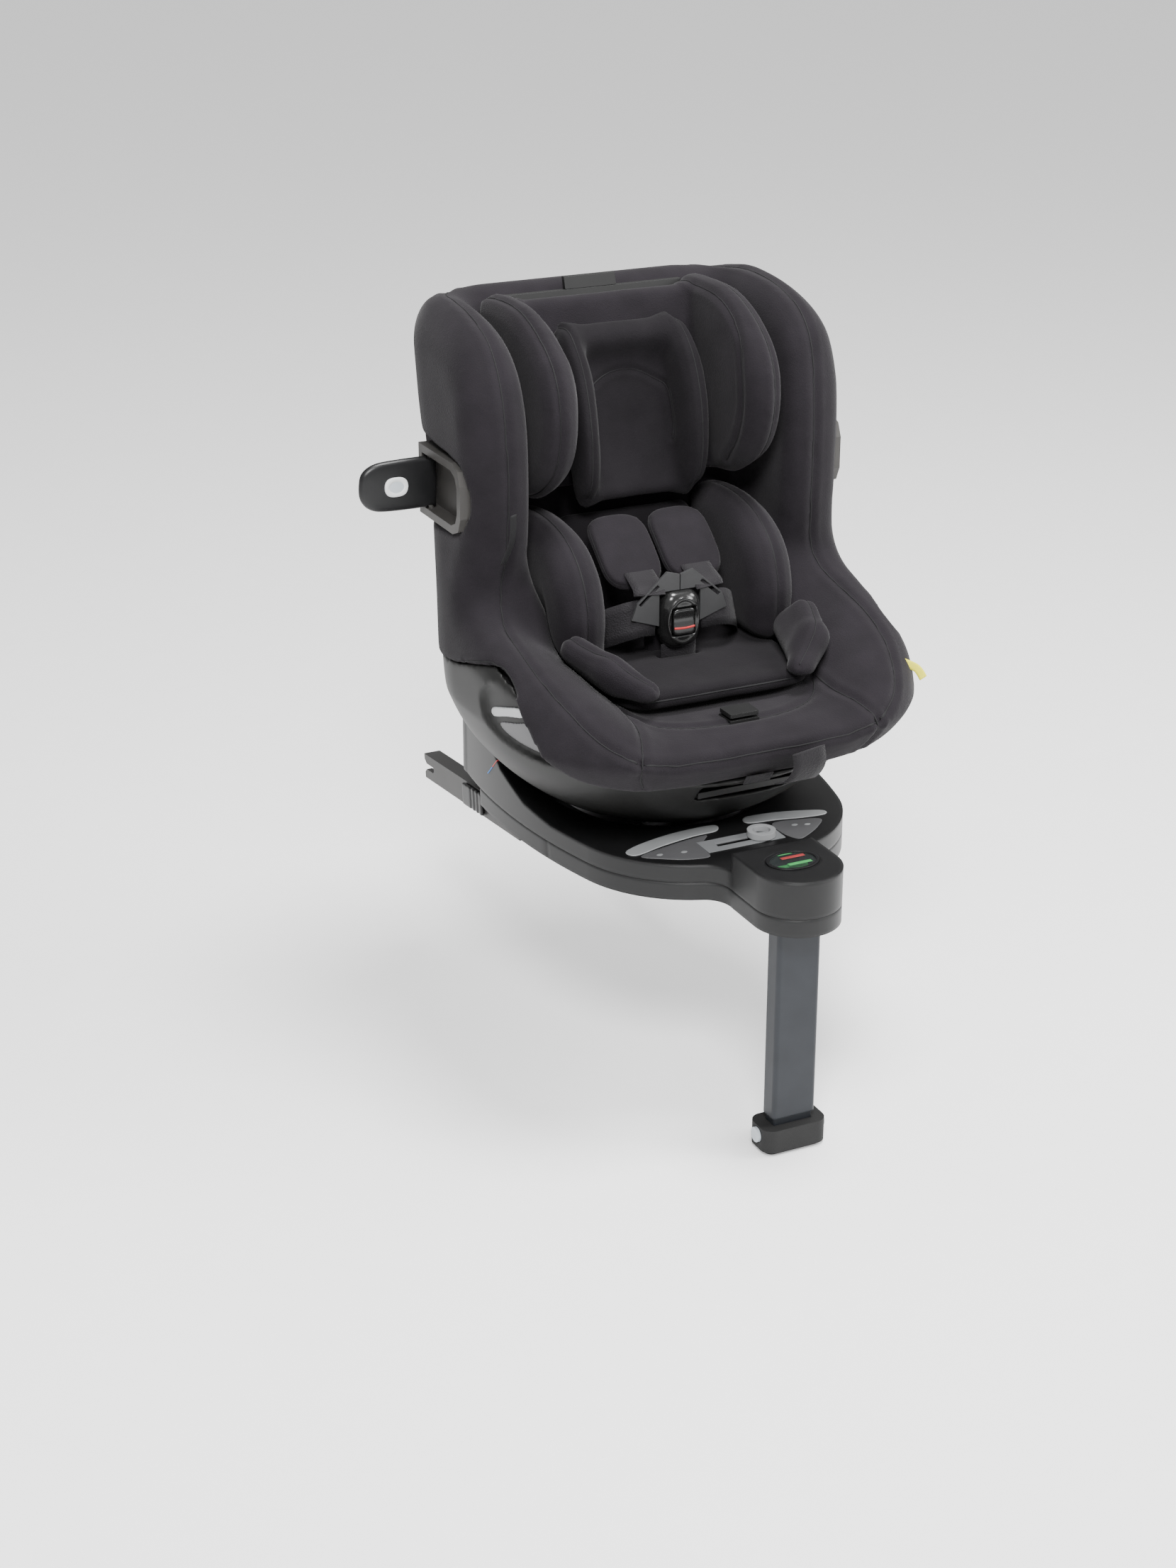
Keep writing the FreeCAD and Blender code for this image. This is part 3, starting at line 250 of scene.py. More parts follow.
def skin(name, field, low, high, voxel, material, relax=2):
    """A mesh of the field's zero surface between two corners, in mm."""
    x = np.arange(low[0], high[0] + voxel, voxel)[:, None, None]
    y = np.arange(low[1], high[1] + voxel, voxel)[None, :, None]
    z = np.arange(low[2], high[2] + voxel, voxel)[None, None, :]
    shape = (x.size, y.size, z.size)
    values = np.clip(np.broadcast_to(field(x, y, z), shape) / voxel, -3, 3).astype(np.float32)
    values[[0, -1], :, :] = 3
    values[:, [0, -1], :] = 3
    values[:, :, [0, -1]] = 3
    grid = openvdb.FloatGrid(3.0)
    grid.copyFromArray(np.ascontiguousarray(values))
    points, faces = grid.convertToQuads()
    made = add_mesh(name, points * voxel + np.asarray(low, float), faces, material)
    if relax:
        soften(made, relax)
    turn_outward(made)
    return made


def soften(made, passes, factor=0.5):
    """Relaxes a mesh towards its neighbours' mean."""
    count = len(made.data.vertices)
    points = np.empty(count * 3)
    made.data.vertices.foreach_get("co", points)
    points = points.reshape(-1, 3)
    edges = np.empty(len(made.data.edges) * 2, dtype=np.int64)
    made.data.edges.foreach_get("vertices", edges)
    a, b = edges.reshape(-1, 2).T
    degree = np.bincount(a, minlength=count) + np.bincount(b, minlength=count)
    for _ in range(passes):
        total = np.stack([np.bincount(a, points[b, i], count) + np.bincount(b, points[a, i], count)
                          for i in range(3)], 1)
        points += factor * (total / np.maximum(degree, 1)[:, None] - points)
    made.data.vertices.foreach_set("co", points.ravel())
    made.data.update()


def mirrored(made, name):
    """The same piece on the other side of the seat."""
    other = made.copy()
    other.data = made.data.copy()
    other.name = name
    for vertex in other.data.vertices:
        vertex.co.x *= -1
    other.data.flip_normals()
    bpy.context.scene.collection.objects.link(other)
    return other


def tube_mesh(path, radius, sides=6):
    """Points and faces of a closed-ended tube along a path, in metres."""
    points, faces = [], []
    side = None
    for i, here in enumerate(path):
        ahead = (path[min(i + 1, len(path) - 1)] - path[max(i - 1, 0)]).normalized()
        if side is None:
            side = ahead.orthogonal().normalized()
        side = (side - ahead * side.dot(ahead)).normalized()
        up = ahead.cross(side)
        for j in range(sides):
            angle = 2 * math.pi * j / sides
            points.append(here + radius * (math.cos(angle) * side + math.sin(angle) * up))
    for i in range(len(path) - 1):
        for j in range(sides):
            k = (j + 1) % sides
            faces.append((i * sides + j, i * sides + k, (i + 1) * sides + k, (i + 1) * sides + j))
    faces.append(tuple(reversed(range(sides))))
    faces.append(tuple(range((len(path) - 1) * sides, len(path) * sides)))
    return points, faces


SEAM_REACH = 30.0
STITCH = 1.2


def sew(made, *lines, depth=1.6, width=3.0, piping=0.7):
    """Presses seams into a soft piece along lines through points in mm, and lays their thread."""
    made.data.update()
    surface = BVHTree.FromObject(made, bpy.context.evaluated_depsgraph_get())
    for line in lines:
        path = []
        for point in curve(line, False, 10):
            spot, _, _, gap = surface.find_nearest(Vector(point) * MM)
            if gap < SEAM_REACH * MM:
                path.append(spot)
        if len(path) < 3:
            continue
        fine = []
        for a, b in zip(path, path[1:]):
            cuts = max(1, round((b - a).length / (STITCH * MM)))
            fine += [a.lerp(b, i / cuts) for i in range(cuts)]
        tree = KDTree(len(fine))
        for i, spot in enumerate(fine):
            tree.insert(spot, i)
        tree.balance()
        reach = 4 * width * MM
        low = np.min([s[:] for s in fine], 0) - reach
        high = np.max([s[:] for s in fine], 0) + reach
        places = np.empty(len(made.data.vertices) * 3)
        made.data.vertices.foreach_get("co", places)
        places = places.reshape(-1, 3)
        for index in np.nonzero(((places > low) & (places < high)).all(axis=1))[0]:
            vertex = made.data.vertices[index]
            gap = tree.find(vertex.co)[2] / MM
            if gap < 4 * width:
                push = depth * (math.exp(-((gap / width) ** 2)) - 0.4 * math.exp(-((gap / width - 2.4) ** 2)))
                vertex.co = vertex.co - vertex.normal * push * MM
        made.data.update()
        if piping:
            settled = BVHTree.FromObject(made, bpy.context.evaluated_depsgraph_get())
            run = []
            for spot in fine[::2] + fine[-1:]:
                hit, normal, _, _ = settled.find_nearest(spot)
                run.append(hit - normal * 0.15 * piping * MM)
            run = [(run[max(i - 1, 0)] + run[i] + run[min(i + 1,
                    len(run) - 1)]) / 3 for i in range(len(run))]
            join_tube(made, run, piping * MM)


def join_tube(made, run, radius):
    """Adds a seam's thread to a piece."""
    if THREAD.name not in [m.name for m in made.data.materials]:
        made.data.materials.append(THREAD)
    slot = [m.name for m in made.data.materials].index(THREAD.name)
    points, faces = tube_mesh(run, radius)
    work = bmesh.new()
    work.from_mesh(made.data)
    fresh = [work.verts.new(p) for p in points]
    for face in faces:
        new_face = work.faces.new([fresh[i] for i in face])
        new_face.material_index = slot
        new_face.smooth = True
    work.to_mesh(made.data)
    work.free()


def crumple(made, height, size):
    """Gives cloth small uneven swells."""
    texture = bpy.data.textures.new(made.name + "_swells", "CLOUDS")
    texture.noise_scale = size * MM
    bulge = made.modifiers.new("swells", "DISPLACE")
    bulge.texture = texture
    bulge.strength = height * MM
    bulge.mid_level = 0.5
    texture.noise_depth = 1
    apply_modifiers(made)


def apply_modifiers(made):
    """Makes a piece's modifiers permanent."""
    depsgraph = bpy.context.evaluated_depsgraph_get()
    fixed = bpy.data.meshes.new_from_object(made.evaluated_get(depsgraph))
    made.modifiers.clear()
    made.data = fixed


# ---------------------------------------------------------------- the shell's common shapes, in mm

SLOPE = math.radians(17.6)
BACK_FOOT = (62.0, 165.0)
SEAT_LEVEL = 165.0
BOWL_RADIUS = 243.0
AXIS_LEVEL = 253.0
# level, half width, front, rear, front corner radius, rear corner radius
GIRTH = np.array([(100, 202, -204, 150, 150, 140), (150, 219, -228, 155, 150, 140),
        (195, 219, -223, 158, 140, 135), (240, 213, -190, 166, 120, 125), (300, 204, -60, 176, 60, 105),
                  (420, 204, -60, 203, 60, 100), (470, 201, -60, 216, 60, 96),
                  (530, 192, -60, 229, 60, 90)], float)
SIDE = curve([(-150, 95), (-206, 112), (-230, 138), (-226, 160), (-205, 171), (-144, 196), (-76, 223),
        (-30, 243), (-3, 262), (-15, 292), (-23, 335), (-24, 377), (-18, 414), (-6, 446), (13, 476),
              (43, 500), (90, 514), (150, 518), (215, 512), (260, 490), (260, 300), (240, 100),
              (100, 80)])
HEM = [(260, 183), (59, 184), (10, 192), (-30, 203), (-60, 210), (-84, 206), (-104, 194), (-122, 177),
       (-138, 160), (-150, 143), (-163, 126), (-182, 114), (-205, 109), (-330, 108), (-330, 0), (260, 0)]


def girth(x, y, z):
    """The distance to the seat's outside in plan, which changes with the level."""
    half, front, rear, round_front, round_rear = (
        np.interp(z, GIRTH[:, 0], GIRTH[:, column]) for column in range(1, 6))
    middle = (front + rear) / 2
    radius = np.where(y < middle, round_front, round_rear)
    over = np.where(y < middle, front + round_front - y, y - rear + round_rear)
    across = np.abs(x) - half + radius
    corner = np.hypot(np.maximum(across, 0), np.maximum(over, 0))
    return corner + np.minimum(np.maximum(across, over), 0) - radius


def ahead_of_back(y, z):
    """How far a point is in front of the leaning back, at right angles to it."""
    return (BACK_FOOT[0] - y) * math.cos(SLOPE) + (z - BACK_FOOT[1]) * math.sin(SLOPE)


def up_the_back(y, z):
    """How far a point is up the leaning back."""
    return (y - BACK_FOOT[0]) * math.sin(SLOPE) + (z - BACK_FOOT[1]) * math.cos(SLOPE)


def well(x, y, z):
    """The space the child sits in: negative inside."""
    half = np.interp(z, [165, 200, 240, 290, 540], [106, 112, 124, 138, 138])
    crown = 4.0 * np.exp(-((x / 75.0) ** 2)) * np.exp(-(((y + 185) / 40.0) ** 2))
    room = smooth_max(np.abs(x) - half, SEAT_LEVEL + crown - z, 34)
    room = smooth_max(room, -ahead_of_back(y, z), 44)
    ramp = ((np.abs(x) - 104) * 60 - (z - 176) * 69) / math.hypot(60, 69)
    ramp = smooth_max(smooth_max(ramp, (y + 8) * 0.9, 34), SEAT_LEVEL + crown - z, 34)
    return smooth_min(room, ramp, 24)


def shell(x, y, z):
    """The outside of the seat: its plan at each level and its side outline."""
    return smooth_max(girth(x, y, z), outline(SIDE, y, z), 46)


BOWL_TOP = curve([(-150, -80), (-206, -40), (-234, 60), (-232, 138), (-226, 160), (-205, 171),
                  (-144, 196), (-76, 223), (-30, 243), (20, 280), (120, 300), (260, 300), (270, 100),
                  (240, -80)])


def bowl_wall(x, y, z):
    """The bowl's outer face: a sphere below, the seat's outside above it."""
    ball = np.sqrt(x**2 + y**2 + (z - AXIS_LEVEL) ** 2) - BOWL_RADIUS
    return smooth_max(ball, girth(x, y, z) + 2.2, 10)


def pod_window(x, y, z, grow):
    """The D-shaped window that a side pod's tray sits in."""
    low, high = (np.asarray(c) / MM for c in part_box("pod_trays"))
    rear, front, bottom, top = high[1] + grow, low[1] - grow, low[2] - grow, high[2] + grow
    nose = (top - bottom) * 0.3
    shape = curve([(rear + 60, bottom), (rear + 60, top), (front + nose * 1.6, top),
            (front + nose * 0.35, top - nose * 0.6), (front, (top + bottom) / 2),
                   (front + nose * 0.35, bottom + nose * 0.6), (front + nose * 1.6, bottom)], True, 5)
    return smooth_max(outline(shape, y, z), 190 - np.abs(x), 3)


# ---------------------------------------------------------------- seat cover


COVER_INSIDE_BOWL = 18
COVER_BOTTOM = 110


def cover_field(x, y, z):
    """The cover over its shell: the seat's outside less the well, the bowl's side and the windows."""
    body = smooth_max(shell(x, y, z), -well(x, y, z), 40)
    skirt = smooth_max(outline(HEM, y, z), -(bowl_wall(x, y, z) + COVER_INSIDE_BOWL), 4)
    body = smooth_max(smooth_max(body, -skirt, 5), COVER_BOTTOM - z, 4)
    # room for the recline cradle over the whole tilt
    trough = smooth_max(np.abs(x) - 82, smooth_max(-78 - y, z - 131, 4), 4)
    body = smooth_max(body, -trough, 3)
    return smooth_max(body, -pod_window(x, y, z, 1.5), 4)


def both(line):
    """A line and its mirror image."""
    return [line, [(-x, y, z) for x, y, z in line]]


cover = skin("seat_fabric", cover_field, (-236, -244, 96), (236, 242, 526), 3.6, KNIT)
wing_seam = [(140, 205, 514), (158, 150, 516), (164, 90, 514), (166, 43, 502), (167, 9, 476),
        (167, -7, 446), (167, -19, 412), (167, -24, 377), (167, -21, 325), (168, -14, 290), (171, 0, 262),
             (176, -30, 243), (181, -76, 222), (180, -111, 207), (174, -144, 193), (158, -186, 171),
             (128, -208, 153)]
front_seam = [(128, -208, 153), (90, -222, 148), (45, -230, 145), (0, -232, 144), (-45, -230, 145),
              (-90, -222, 148), (-128, -208, 153)]
thigh_seam = [(104, 20, 172), (106, -60, 172), (106, -110, 172), (104, -150, 172), (112, -185, 172),
              (124, -206, 155), (126, -206, 130), (118, -196, 112)]
pan_seam = [(104, -120, 168), (80, -150, 170), (40, -166, 171), (0, -170, 171), (-40, -166, 171),
            (-80, -150, 170), (-104, -120, 168)]
sew(cover, *both(wing_seam), front_seam, *both(thigh_seam), pan_seam, depth=1.8, width=3.4, piping=0.8)
sew(cover, *both([(206, 64, 187), (212, 12, 196), (216, -30, 207), (216, -60, 214), (212, -84, 210),
                  (206, -104, 198)]), depth=0.8, width=2.6, piping=0.7)
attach(cover, "seat")
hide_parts("seat_cover", "bucket_shell")

# ---------------------------------------------------------------- headrest


def headrest_field(x, y, z):
    """A crowned panel between two round side bolsters."""
    f, h = ahead_of_back(y, z), up_the_back(y, z)
    crown = 3 * np.exp(-((x / 60) ** 2))
    panel = smooth_max(np.abs(h - 255) - 92, np.abs(f - 22) - 12 - crown, 12)
    panel = smooth_max(np.abs(x) - 96, panel, 10)
    side = curve([(112, 336), (146, 420), (172, 482), (160, 508), (100, 513), (55, 503), (12, 478),
                  (-9, 447), (-13, 404), (2, 366), (37, 338), (75, 326)])
    flank = outline(side, y, z)
    swell = 7.0 * (1 - np.exp(np.minimum(flank, 0) / 22.0))
    bolster = smooth_max(flank, np.abs(np.abs(x) - 109) - 14.5 - swell, 20)
    body = smooth_min(panel, bolster, 12)
    return smooth_max(body, well(x, y, z) + 0.8, 3)


headrest = skin("headrest_cushion", headrest_field, (-142, -24, 312), (142, 206, 526), 3.0, KNIT)
nose = [(160, 508), (100, 513), (55, 503), (12, 478), (-9, 447), (-13, 404), (2, 366), (37, 338),
        (75, 328)]
sew(headrest, *both([(116, y, z) for y, z in nose]),
    *both([(96, y, z) for y, z in ((180, 500), (120, 506), (66, 500), (28, 474), (14, 440), (12, 404),
                                   (24, 372), (48, 346))]),
    depth=1.6, width=3.0, piping=0.7)
crumple(headrest, 1.6, 60)
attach(headrest, "headrest")
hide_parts("headrest_pad")


def head_insert_field(x, y, z):
    """A dished pad with a wing on each side and a roll along its top."""
    f, h = ahead_of_back(y, z), up_the_back(y, z)
    plate = smooth_max(np.abs(x) - 50, smooth_max(np.abs(h - 228) - 84, np.abs(f - 45) - 9, 10), 10)
    dent = np.sqrt((x / 40) ** 2 + ((h - 205) / 60) ** 2 + ((f - 62) / 16) ** 2)
    plate = smooth_max(plate, (1 - dent) * 14, 8)
    wing = curve([(40, 152), (40, 305), (58, 314), (78, 302), (94, 270), (98, 230), (92, 190), (78, 158),
                  (58, 146)])
    flank = outline(wing, f, h)
    lean = 57 + 0.10 * (f - 60)
    swell = 6.0 * (1 - np.exp(np.minimum(flank, 0) / 16.0))
    wings = smooth_max(flank, np.abs(np.abs(x) - lean) - 8.5 - swell, 14)
    crest = smooth_max(np.abs(x) - 52, np.hypot((f - 55), (h - 300)) - 13, 8)
    return smooth_min(smooth_min(plate, wings, 12), crest, 14)


insert = skin("head_insert_cushion", head_insert_field, (-82, -40, 290), (82, 136, 486), 2.4, KNIT_SHADED)


def on_back(x, f, h):
    """A point from its place across, ahead of and up the leaning back."""
    return (x, BACK_FOOT[0] - f * math.cos(SLOPE) + h * math.sin(SLOPE),
            BACK_FOOT[1] + f * math.sin(SLOPE) + h * math.cos(SLOPE))


wing_rim = ((44, 312), (58, 315), (78, 303), (94, 270), (99, 230), (93, 190), (79, 158), (60, 146))
sew(insert, *both([on_back(60, f, h) for f, h in wing_rim]),
    [on_back(48 * math.sin(t), 60, 222 + 46 * math.cos(t)) for t in np.linspace(-2.2, 2.2, 14)],
    depth=1.4, width=2.6, piping=0.6)
crumple(insert, 1.2, 45)
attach(insert, "headrest")
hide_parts("head_insert")

# ---------------------------------------------------------------- padded inserts in the seat


def back_insert_field(x, y, z):
    """The pad behind the child's back."""
    f, h = ahead_of_back(y, z), up_the_back(y, z)
    thick = 11.5 + 2.0 * np.cos(np.clip(x / 72, -1, 1) * math.pi / 2)
    slab = smooth_max(np.abs(h - 74) - 60, np.abs(f - 12.5) - thick, 12)
    return smooth_max(np.abs(x) - 73, slab, 12)


def side_insert_field(x, y, z):
    """The bolster beside the child's chest and hip."""
    side = curve([(98, 182), (106, 240), (110, 300), (84, 312), (34, 311), (-4, 300), (-34, 274),
                  (-48, 240), (-47, 208), (-38, 184), (30, 180)])
    flank = outline(side, y, z)
    swell = 7.0 * (1 - np.exp(np.minimum(flank, 0) / 20.0))
    body = smooth_max(flank, np.abs(x - 103) - 20 - swell, 22)
    return smooth_max(body, well(x, y, z) + 0.8, 4)


def seat_insert_field(x, y, z):
    """The pad under the child, with its slot for the crotch strap."""
    plan = curve([(0, -130), (50, -130), (84, -127), (102, -110), (108, -70), (108, 0), (104, 60),
                  (60, 82), (0, 86), (-60, 82), (-104, 60), (-108, 0), (-108, -70), (-102, -110),
                  (-84, -127), (-50, -130)])
    slab = smooth_max(outline(plan, x, y), np.abs(z - 174) - 8.5, 12)
    slab = smooth_max(slab, -smooth_max(np.abs(x) - 21.5, np.abs(y + 33) - 4.5, 2), 3)
    return smooth_max(slab, well(x, y, z) + 0.8, 3)


def leg_wing_field(x, y, z):
    """The soft wing beside the child's thigh."""
    ear = smooth_min(capsule(x, y, z, (84, -128, 185), (110, -104, 204), 14),
                     capsule(x, y, z, (110, -104, 204), (124, -62, 212), 15), 10)
    ear = smooth_min(ear, capsule(x, y, z, (98, -104, 190), (114, -48, 198), 15), 14)
    ear = smooth_max(ear, 180 - z, 6)
    return smooth_max(ear, well(x, y, z) + 0.8, 4)


back_insert = skin("back_insert_cushion", back_insert_field, (-80, -10, 172), (80, 124, 312), 2.6,
                   KNIT_SHADED)
sew(back_insert, *both([on_back(40, 25, h) for h in range(20, 130, 12)]), depth=1.4, width=2.8,
    piping=0.6)
crumple(back_insert, 2.4, 40)
side_insert = skin("side_insert_cushion_left", side_insert_field, (74, -56, 176), (146, 120, 320), 2.6,
                   KNIT)
nose = [(84, 312), (34, 311), (-4, 300), (-34, 274), (-48, 240), (-47, 208), (-38, 186)]
sew(side_insert, [(104, y, z) for y, z in nose], depth=1.6, width=3.0, piping=0.7)
crumple(side_insert, 1.8, 50)
seat_insert = skin("seat_insert_cushion", seat_insert_field, (-116, -138, 162), (116, 94, 186), 2.6,
                   KNIT_SHADED)
sew(seat_insert, [(-104, -104, 176), (-84, -127, 176), (-50, -130, 176), (0, -130, 176), (50, -130, 176),
                  (84, -127, 176), (104, -104, 176)], depth=1.2, width=2.6, piping=0.7)
crumple(seat_insert, 1.6, 45)
leg_wing = skin("leg_wing_cushion_left", leg_wing_field, (62, -150, 176), (148, -24, 234), 2.2, KNIT)
sew(leg_wing, [(76, -138, 192), (98, -122, 208), (112, -106, 218), (126, -76, 226), (128, -50, 222)],
    depth=1.2, width=2.6, piping=0.6)
for piece, node, fill in ((back_insert, "insert_back_pad", 0.7), (seat_insert, "insert_seat_pad", 0.7)):
    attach(piece, "seat")
    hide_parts(node)
for piece, node in ((side_insert, "insert_side_pads"), (leg_wing, "insert_hip_pads")):
    other = mirrored(piece, piece.name.replace("left", "right"))
    for half in (piece, other):
        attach(half, "seat")
    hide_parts(node)

# ---------------------------------------------------------------- bowl under the fabric

RECESS = curve([(-47, 163), (-46, 180), (-62, 194), (-90, 203), (-114, 196), (-138, 168), (-158, 140),
                (-164, 124), (-133, 121), (-100, 125), (-75, 134), (-58, 147)], True, 4)


BOWL_WALL = 12
BAY_DEPTH = 6


def bowl_field(x, y, z):
    """The bowl, open underneath for the cradle and in front for the recline lever."""
    outside = bowl_wall(x, y, z)
    shoulder = smooth_max(girth(x, y, z), outline(BOWL_TOP, y, z), 46) + 2.2
    body = smooth_max(smooth_max(outside, shoulder, 4), outline(HEM, y, z), 2)
    bay = smooth_max(outline(RECESS, y, z), np.maximum(-(outside + BAY_DEPTH), 110 - np.abs(x)), 3)
    body = smooth_max(body, -bay, 3)
    body = smooth_max(body, -(outside + BOWL_WALL), 2)
    underside = np.maximum(np.abs(x) - 96, np.maximum(-82 - y, np.maximum(y - 158, z - 92)))
    lever_slot = np.maximum(np.abs(x) - 52, np.maximum(y + 140, np.abs(z - 96.5) - 9.5))
    return np.maximum(np.maximum(body, -underside), -lever_slot)


bowl = skin("bowl_moulding", bowl_field, (-236, -240, 2), (236, 180, 236), 3.0, BOWL, relax=1)
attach(bowl, "seat")
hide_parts("bowl_shell")


def bay_plate(shape, deep, proud):
    """The field of a thin plate on the floor of the bowl's side bay."""
    edge = curve(shape, True, 4)

    def field(x, y, z):
        plan = np.maximum(outline(edge, y, z), outline(HEM, y, z) + 1)
        above_floor = bowl_wall(x, y, z) + BAY_DEPTH
        return smooth_max(plan, np.abs(above_floor - (deep + proud) / 2) - (proud - deep) / 2, 0.8)

    return field


for side in ("left", "right"):
    for name, shape, proud, material in (
            ("lever_strip", [(-105, 198), (-110, 184), (-116, 174), (-124, 165), (-133, 159), (-143, 158),
                             (-142, 178), (-120, 203)], 2.6, BUTTON),
            ("bay_bar", [(-60, 161), (-84, 168), (-109, 174), (-107, 183), (-84, 178), (-60, 170)], 1.6,
             SILVER),
            ("bay_label", [(-66, 156), (-90, 163), (-112, 168), (-130, 156), (-156, 134), (-133, 127),
                           (-100, 132), (-74, 142)], 0.8, PANEL)):
        plate = skin(f"{name}_{side}", bay_plate(shape, -0.6, proud), (110, -168, 112), (232, -42, 214),
                     1.1, material, relax=1)
        if side == "right":
            for vertex in plate.data.vertices:
                vertex.co.x *= -1
            plate.data.flip_normals()
        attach(plate, "seat")

# ---------------------------------------------------------------- printed panels and marks on the base
PANEL_TOP = 36.0


def flat_plate(name, shape, low, high, material, body="base", round_edge=0.8):
    """A thin plate with a smooth outline, between two levels, in mm."""
    edge = curve(shape, True, 5)
    u, v = [p[0] for p in edge], [p[1] for p in edge]
    middle, half_thick = (low + high) / 2, (high - low) / 2

    def field(x, y, z):
        return smooth_max(outline(edge, x, y), np.abs(z - middle) - half_thick, round_edge)

    made = skin(name, field, (min(u) - 3, min(v) - 3, low - 2.5), (max(u) + 3, max(v) + 3, high + 2.5),
                0.7, material, relax=1)
    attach(made, body)
    return made


left_band = [(-113, -147), (-96, -137), (-62, -128), (-30, -125), (-6, -127), (-11, -140), (-38, -142),
             (-74, -149), (-106, -158)]
right_band = [(28, -123), (56, -124), (84, -131), (107, -141), (104, -150), (80, -148), (54, -142),
              (25, -137)]
left_field = [(-104, -161), (-72, -151), (-40, -145), (-24, -145), (-35, -158), (-41, -176), (-45, -190),
              (-66, -187), (-88, -175)]
right_field = [(46, -147), (76, -150), (95, -158), (84, -172), (66, -185), (52, -190), (44, -174)]
for name, shape, proud, material in (("silver_band_left_side", left_band, 0.9, SILVER),
                                     ("silver_band_right_side", right_band, 0.9, SILVER),
                                     ("dark_field_left_side", left_field, 0.5, PANEL),
                                     ("dark_field_right_side", right_field, 0.5, PANEL)):
    flat_plate(name, shape, PANEL_TOP - 0.6, PANEL_TOP + proud, material)
for name, spots in (("left", ((-86, -166), (-62, -170))), ("right", ((64, -160), (76, -164)))):
    for index, (x, y) in enumerate(spots):
        dot = [(x + 4 * math.cos(a), y + 3 * math.sin(a)) for a in np.linspace(0, 2 * math.pi, 9)[:-1]]
        flat_plate(f"plain_dot_{name}_{index}", dot, PANEL_TOP - 0.2, PANEL_TOP + 0.75, SILVER)
for name, ends in (("left", ((-27, -205), (-1, -201))), ("right", ((13, -201), (33, -201.5)))):
    (ax, ay), (bx, by) = ends
    flat_plate(f"front_dash_{name}", [(ax, ay - 2), (bx, by - 2), (bx + 1, by), (bx, by + 2),
                                      (ax, ay + 2), (ax - 1, ay)], PANEL_TOP - 0.4, PANEL_TOP + 0.7,
               WHITE)
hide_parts("info_plates")
for index, (x, y, material) in enumerate(((5, -249, GREEN), (5, -258, RED), (5, -272, GREEN))):
    bar = [(x - 11, y - 2.4), (x + 11, y - 2.4), (x + 12, y), (x + 11, y + 2.4), (x - 11, y + 2.4),
           (x - 12, y)]
    flat_plate(f"status_bar_{index}", bar, 54.2, 54.9, material, round_edge=0.3)

# ---------------------------------------------------------------- side impact pods


def pod_skin(side, deployed):
    """A pod with a round tip, thinner towards its edges, in the space of its CAD solid."""
    low, high = (np.asarray(c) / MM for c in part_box(f"impact_pod_{side}"))
    middle = (low[2] + high[2]) / 2
    half_tall = (high[2] - low[2]) / 2 - 0.6
    if deployed:
        along, across = 0, 1
        tip, hinge = low[0], high[0]
    else:
        along, across = 1, 0
        tip, hinge = low[1], high[1]
    thick_middle, thick = (low[across] + high[across]) / 2, (high[across] - low[across]) / 2 - 0.3
    shape = curve([(tip + 0.6, middle + 3), (tip + 4, middle + half_tall * 0.62),
                   (tip + 16, middle + half_tall * 0.92), (tip + 36, middle + half_tall),
                   (hinge - 6, middle + half_tall), (hinge - 0.6, middle + half_tall - 5),
                   (hinge - 0.6, middle - half_tall + 5), (hinge - 6, middle - half_tall),
                   (tip + 30, middle - half_tall), (tip + 12, middle - half_tall * 0.86),
                   (tip + 2, middle - half_tall * 0.45)], True, 6)

    def field(x, y, z):
        run, over = (x, y) if deployed else (y, x)
        edge = outline(shape, run, z)
        swell = 2.4 * np.exp(np.minimum(edge, 0) / 7.0)
        body = smooth_max(edge, np.abs(over - thick_middle) - thick + swell, 5)
        pin = np.hypot(run - (hinge - 8), over - thick_middle) - 3.0
        return np.maximum(body, -pin)

    made = skin(f"pod_{side}_moulding", field, low - 3, high + 3, 1.0, POD, relax=1)
    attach(made, f"impact_pod_{side}")
    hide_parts(f"impact_pod_{side}")


pod_skin("right", True)
pod_skin("left", False)
key_low, key_high = (np.asarray(c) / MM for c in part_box("pod_button_right"))
key_middle = ((key_low[0] + key_high[0]) / 2, (key_low[2] + key_high[2]) / 2)


def button_ring(x, y, z):
    """A raised oval rim with a sunk face, on the pod's front."""
    oval_gap = smooth_max(np.abs(x - key_middle[0]) - 12, np.abs(z - key_middle[1]) - 9.5, 10)
    face = smooth_max(oval_gap, np.abs(y - key_low[1] - 1.0) - 1.6, 1.0)
    sunk = smooth_max(oval_gap + 3.2, y - key_low[1] - 0.2, 1.0)
    return smooth_max(face, -sunk, 0.8)


ring = skin("pod_button_rim", button_ring, (key_middle[0] - 15, key_low[1] - 4, key_middle[1] - 13),
            (key_middle[0] + 15, key_low[1] + 5, key_middle[1] + 13), 0.6, WHITE, relax=1)
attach(ring, "pod_button_right")


# ---------------------------------------------------------------- harness


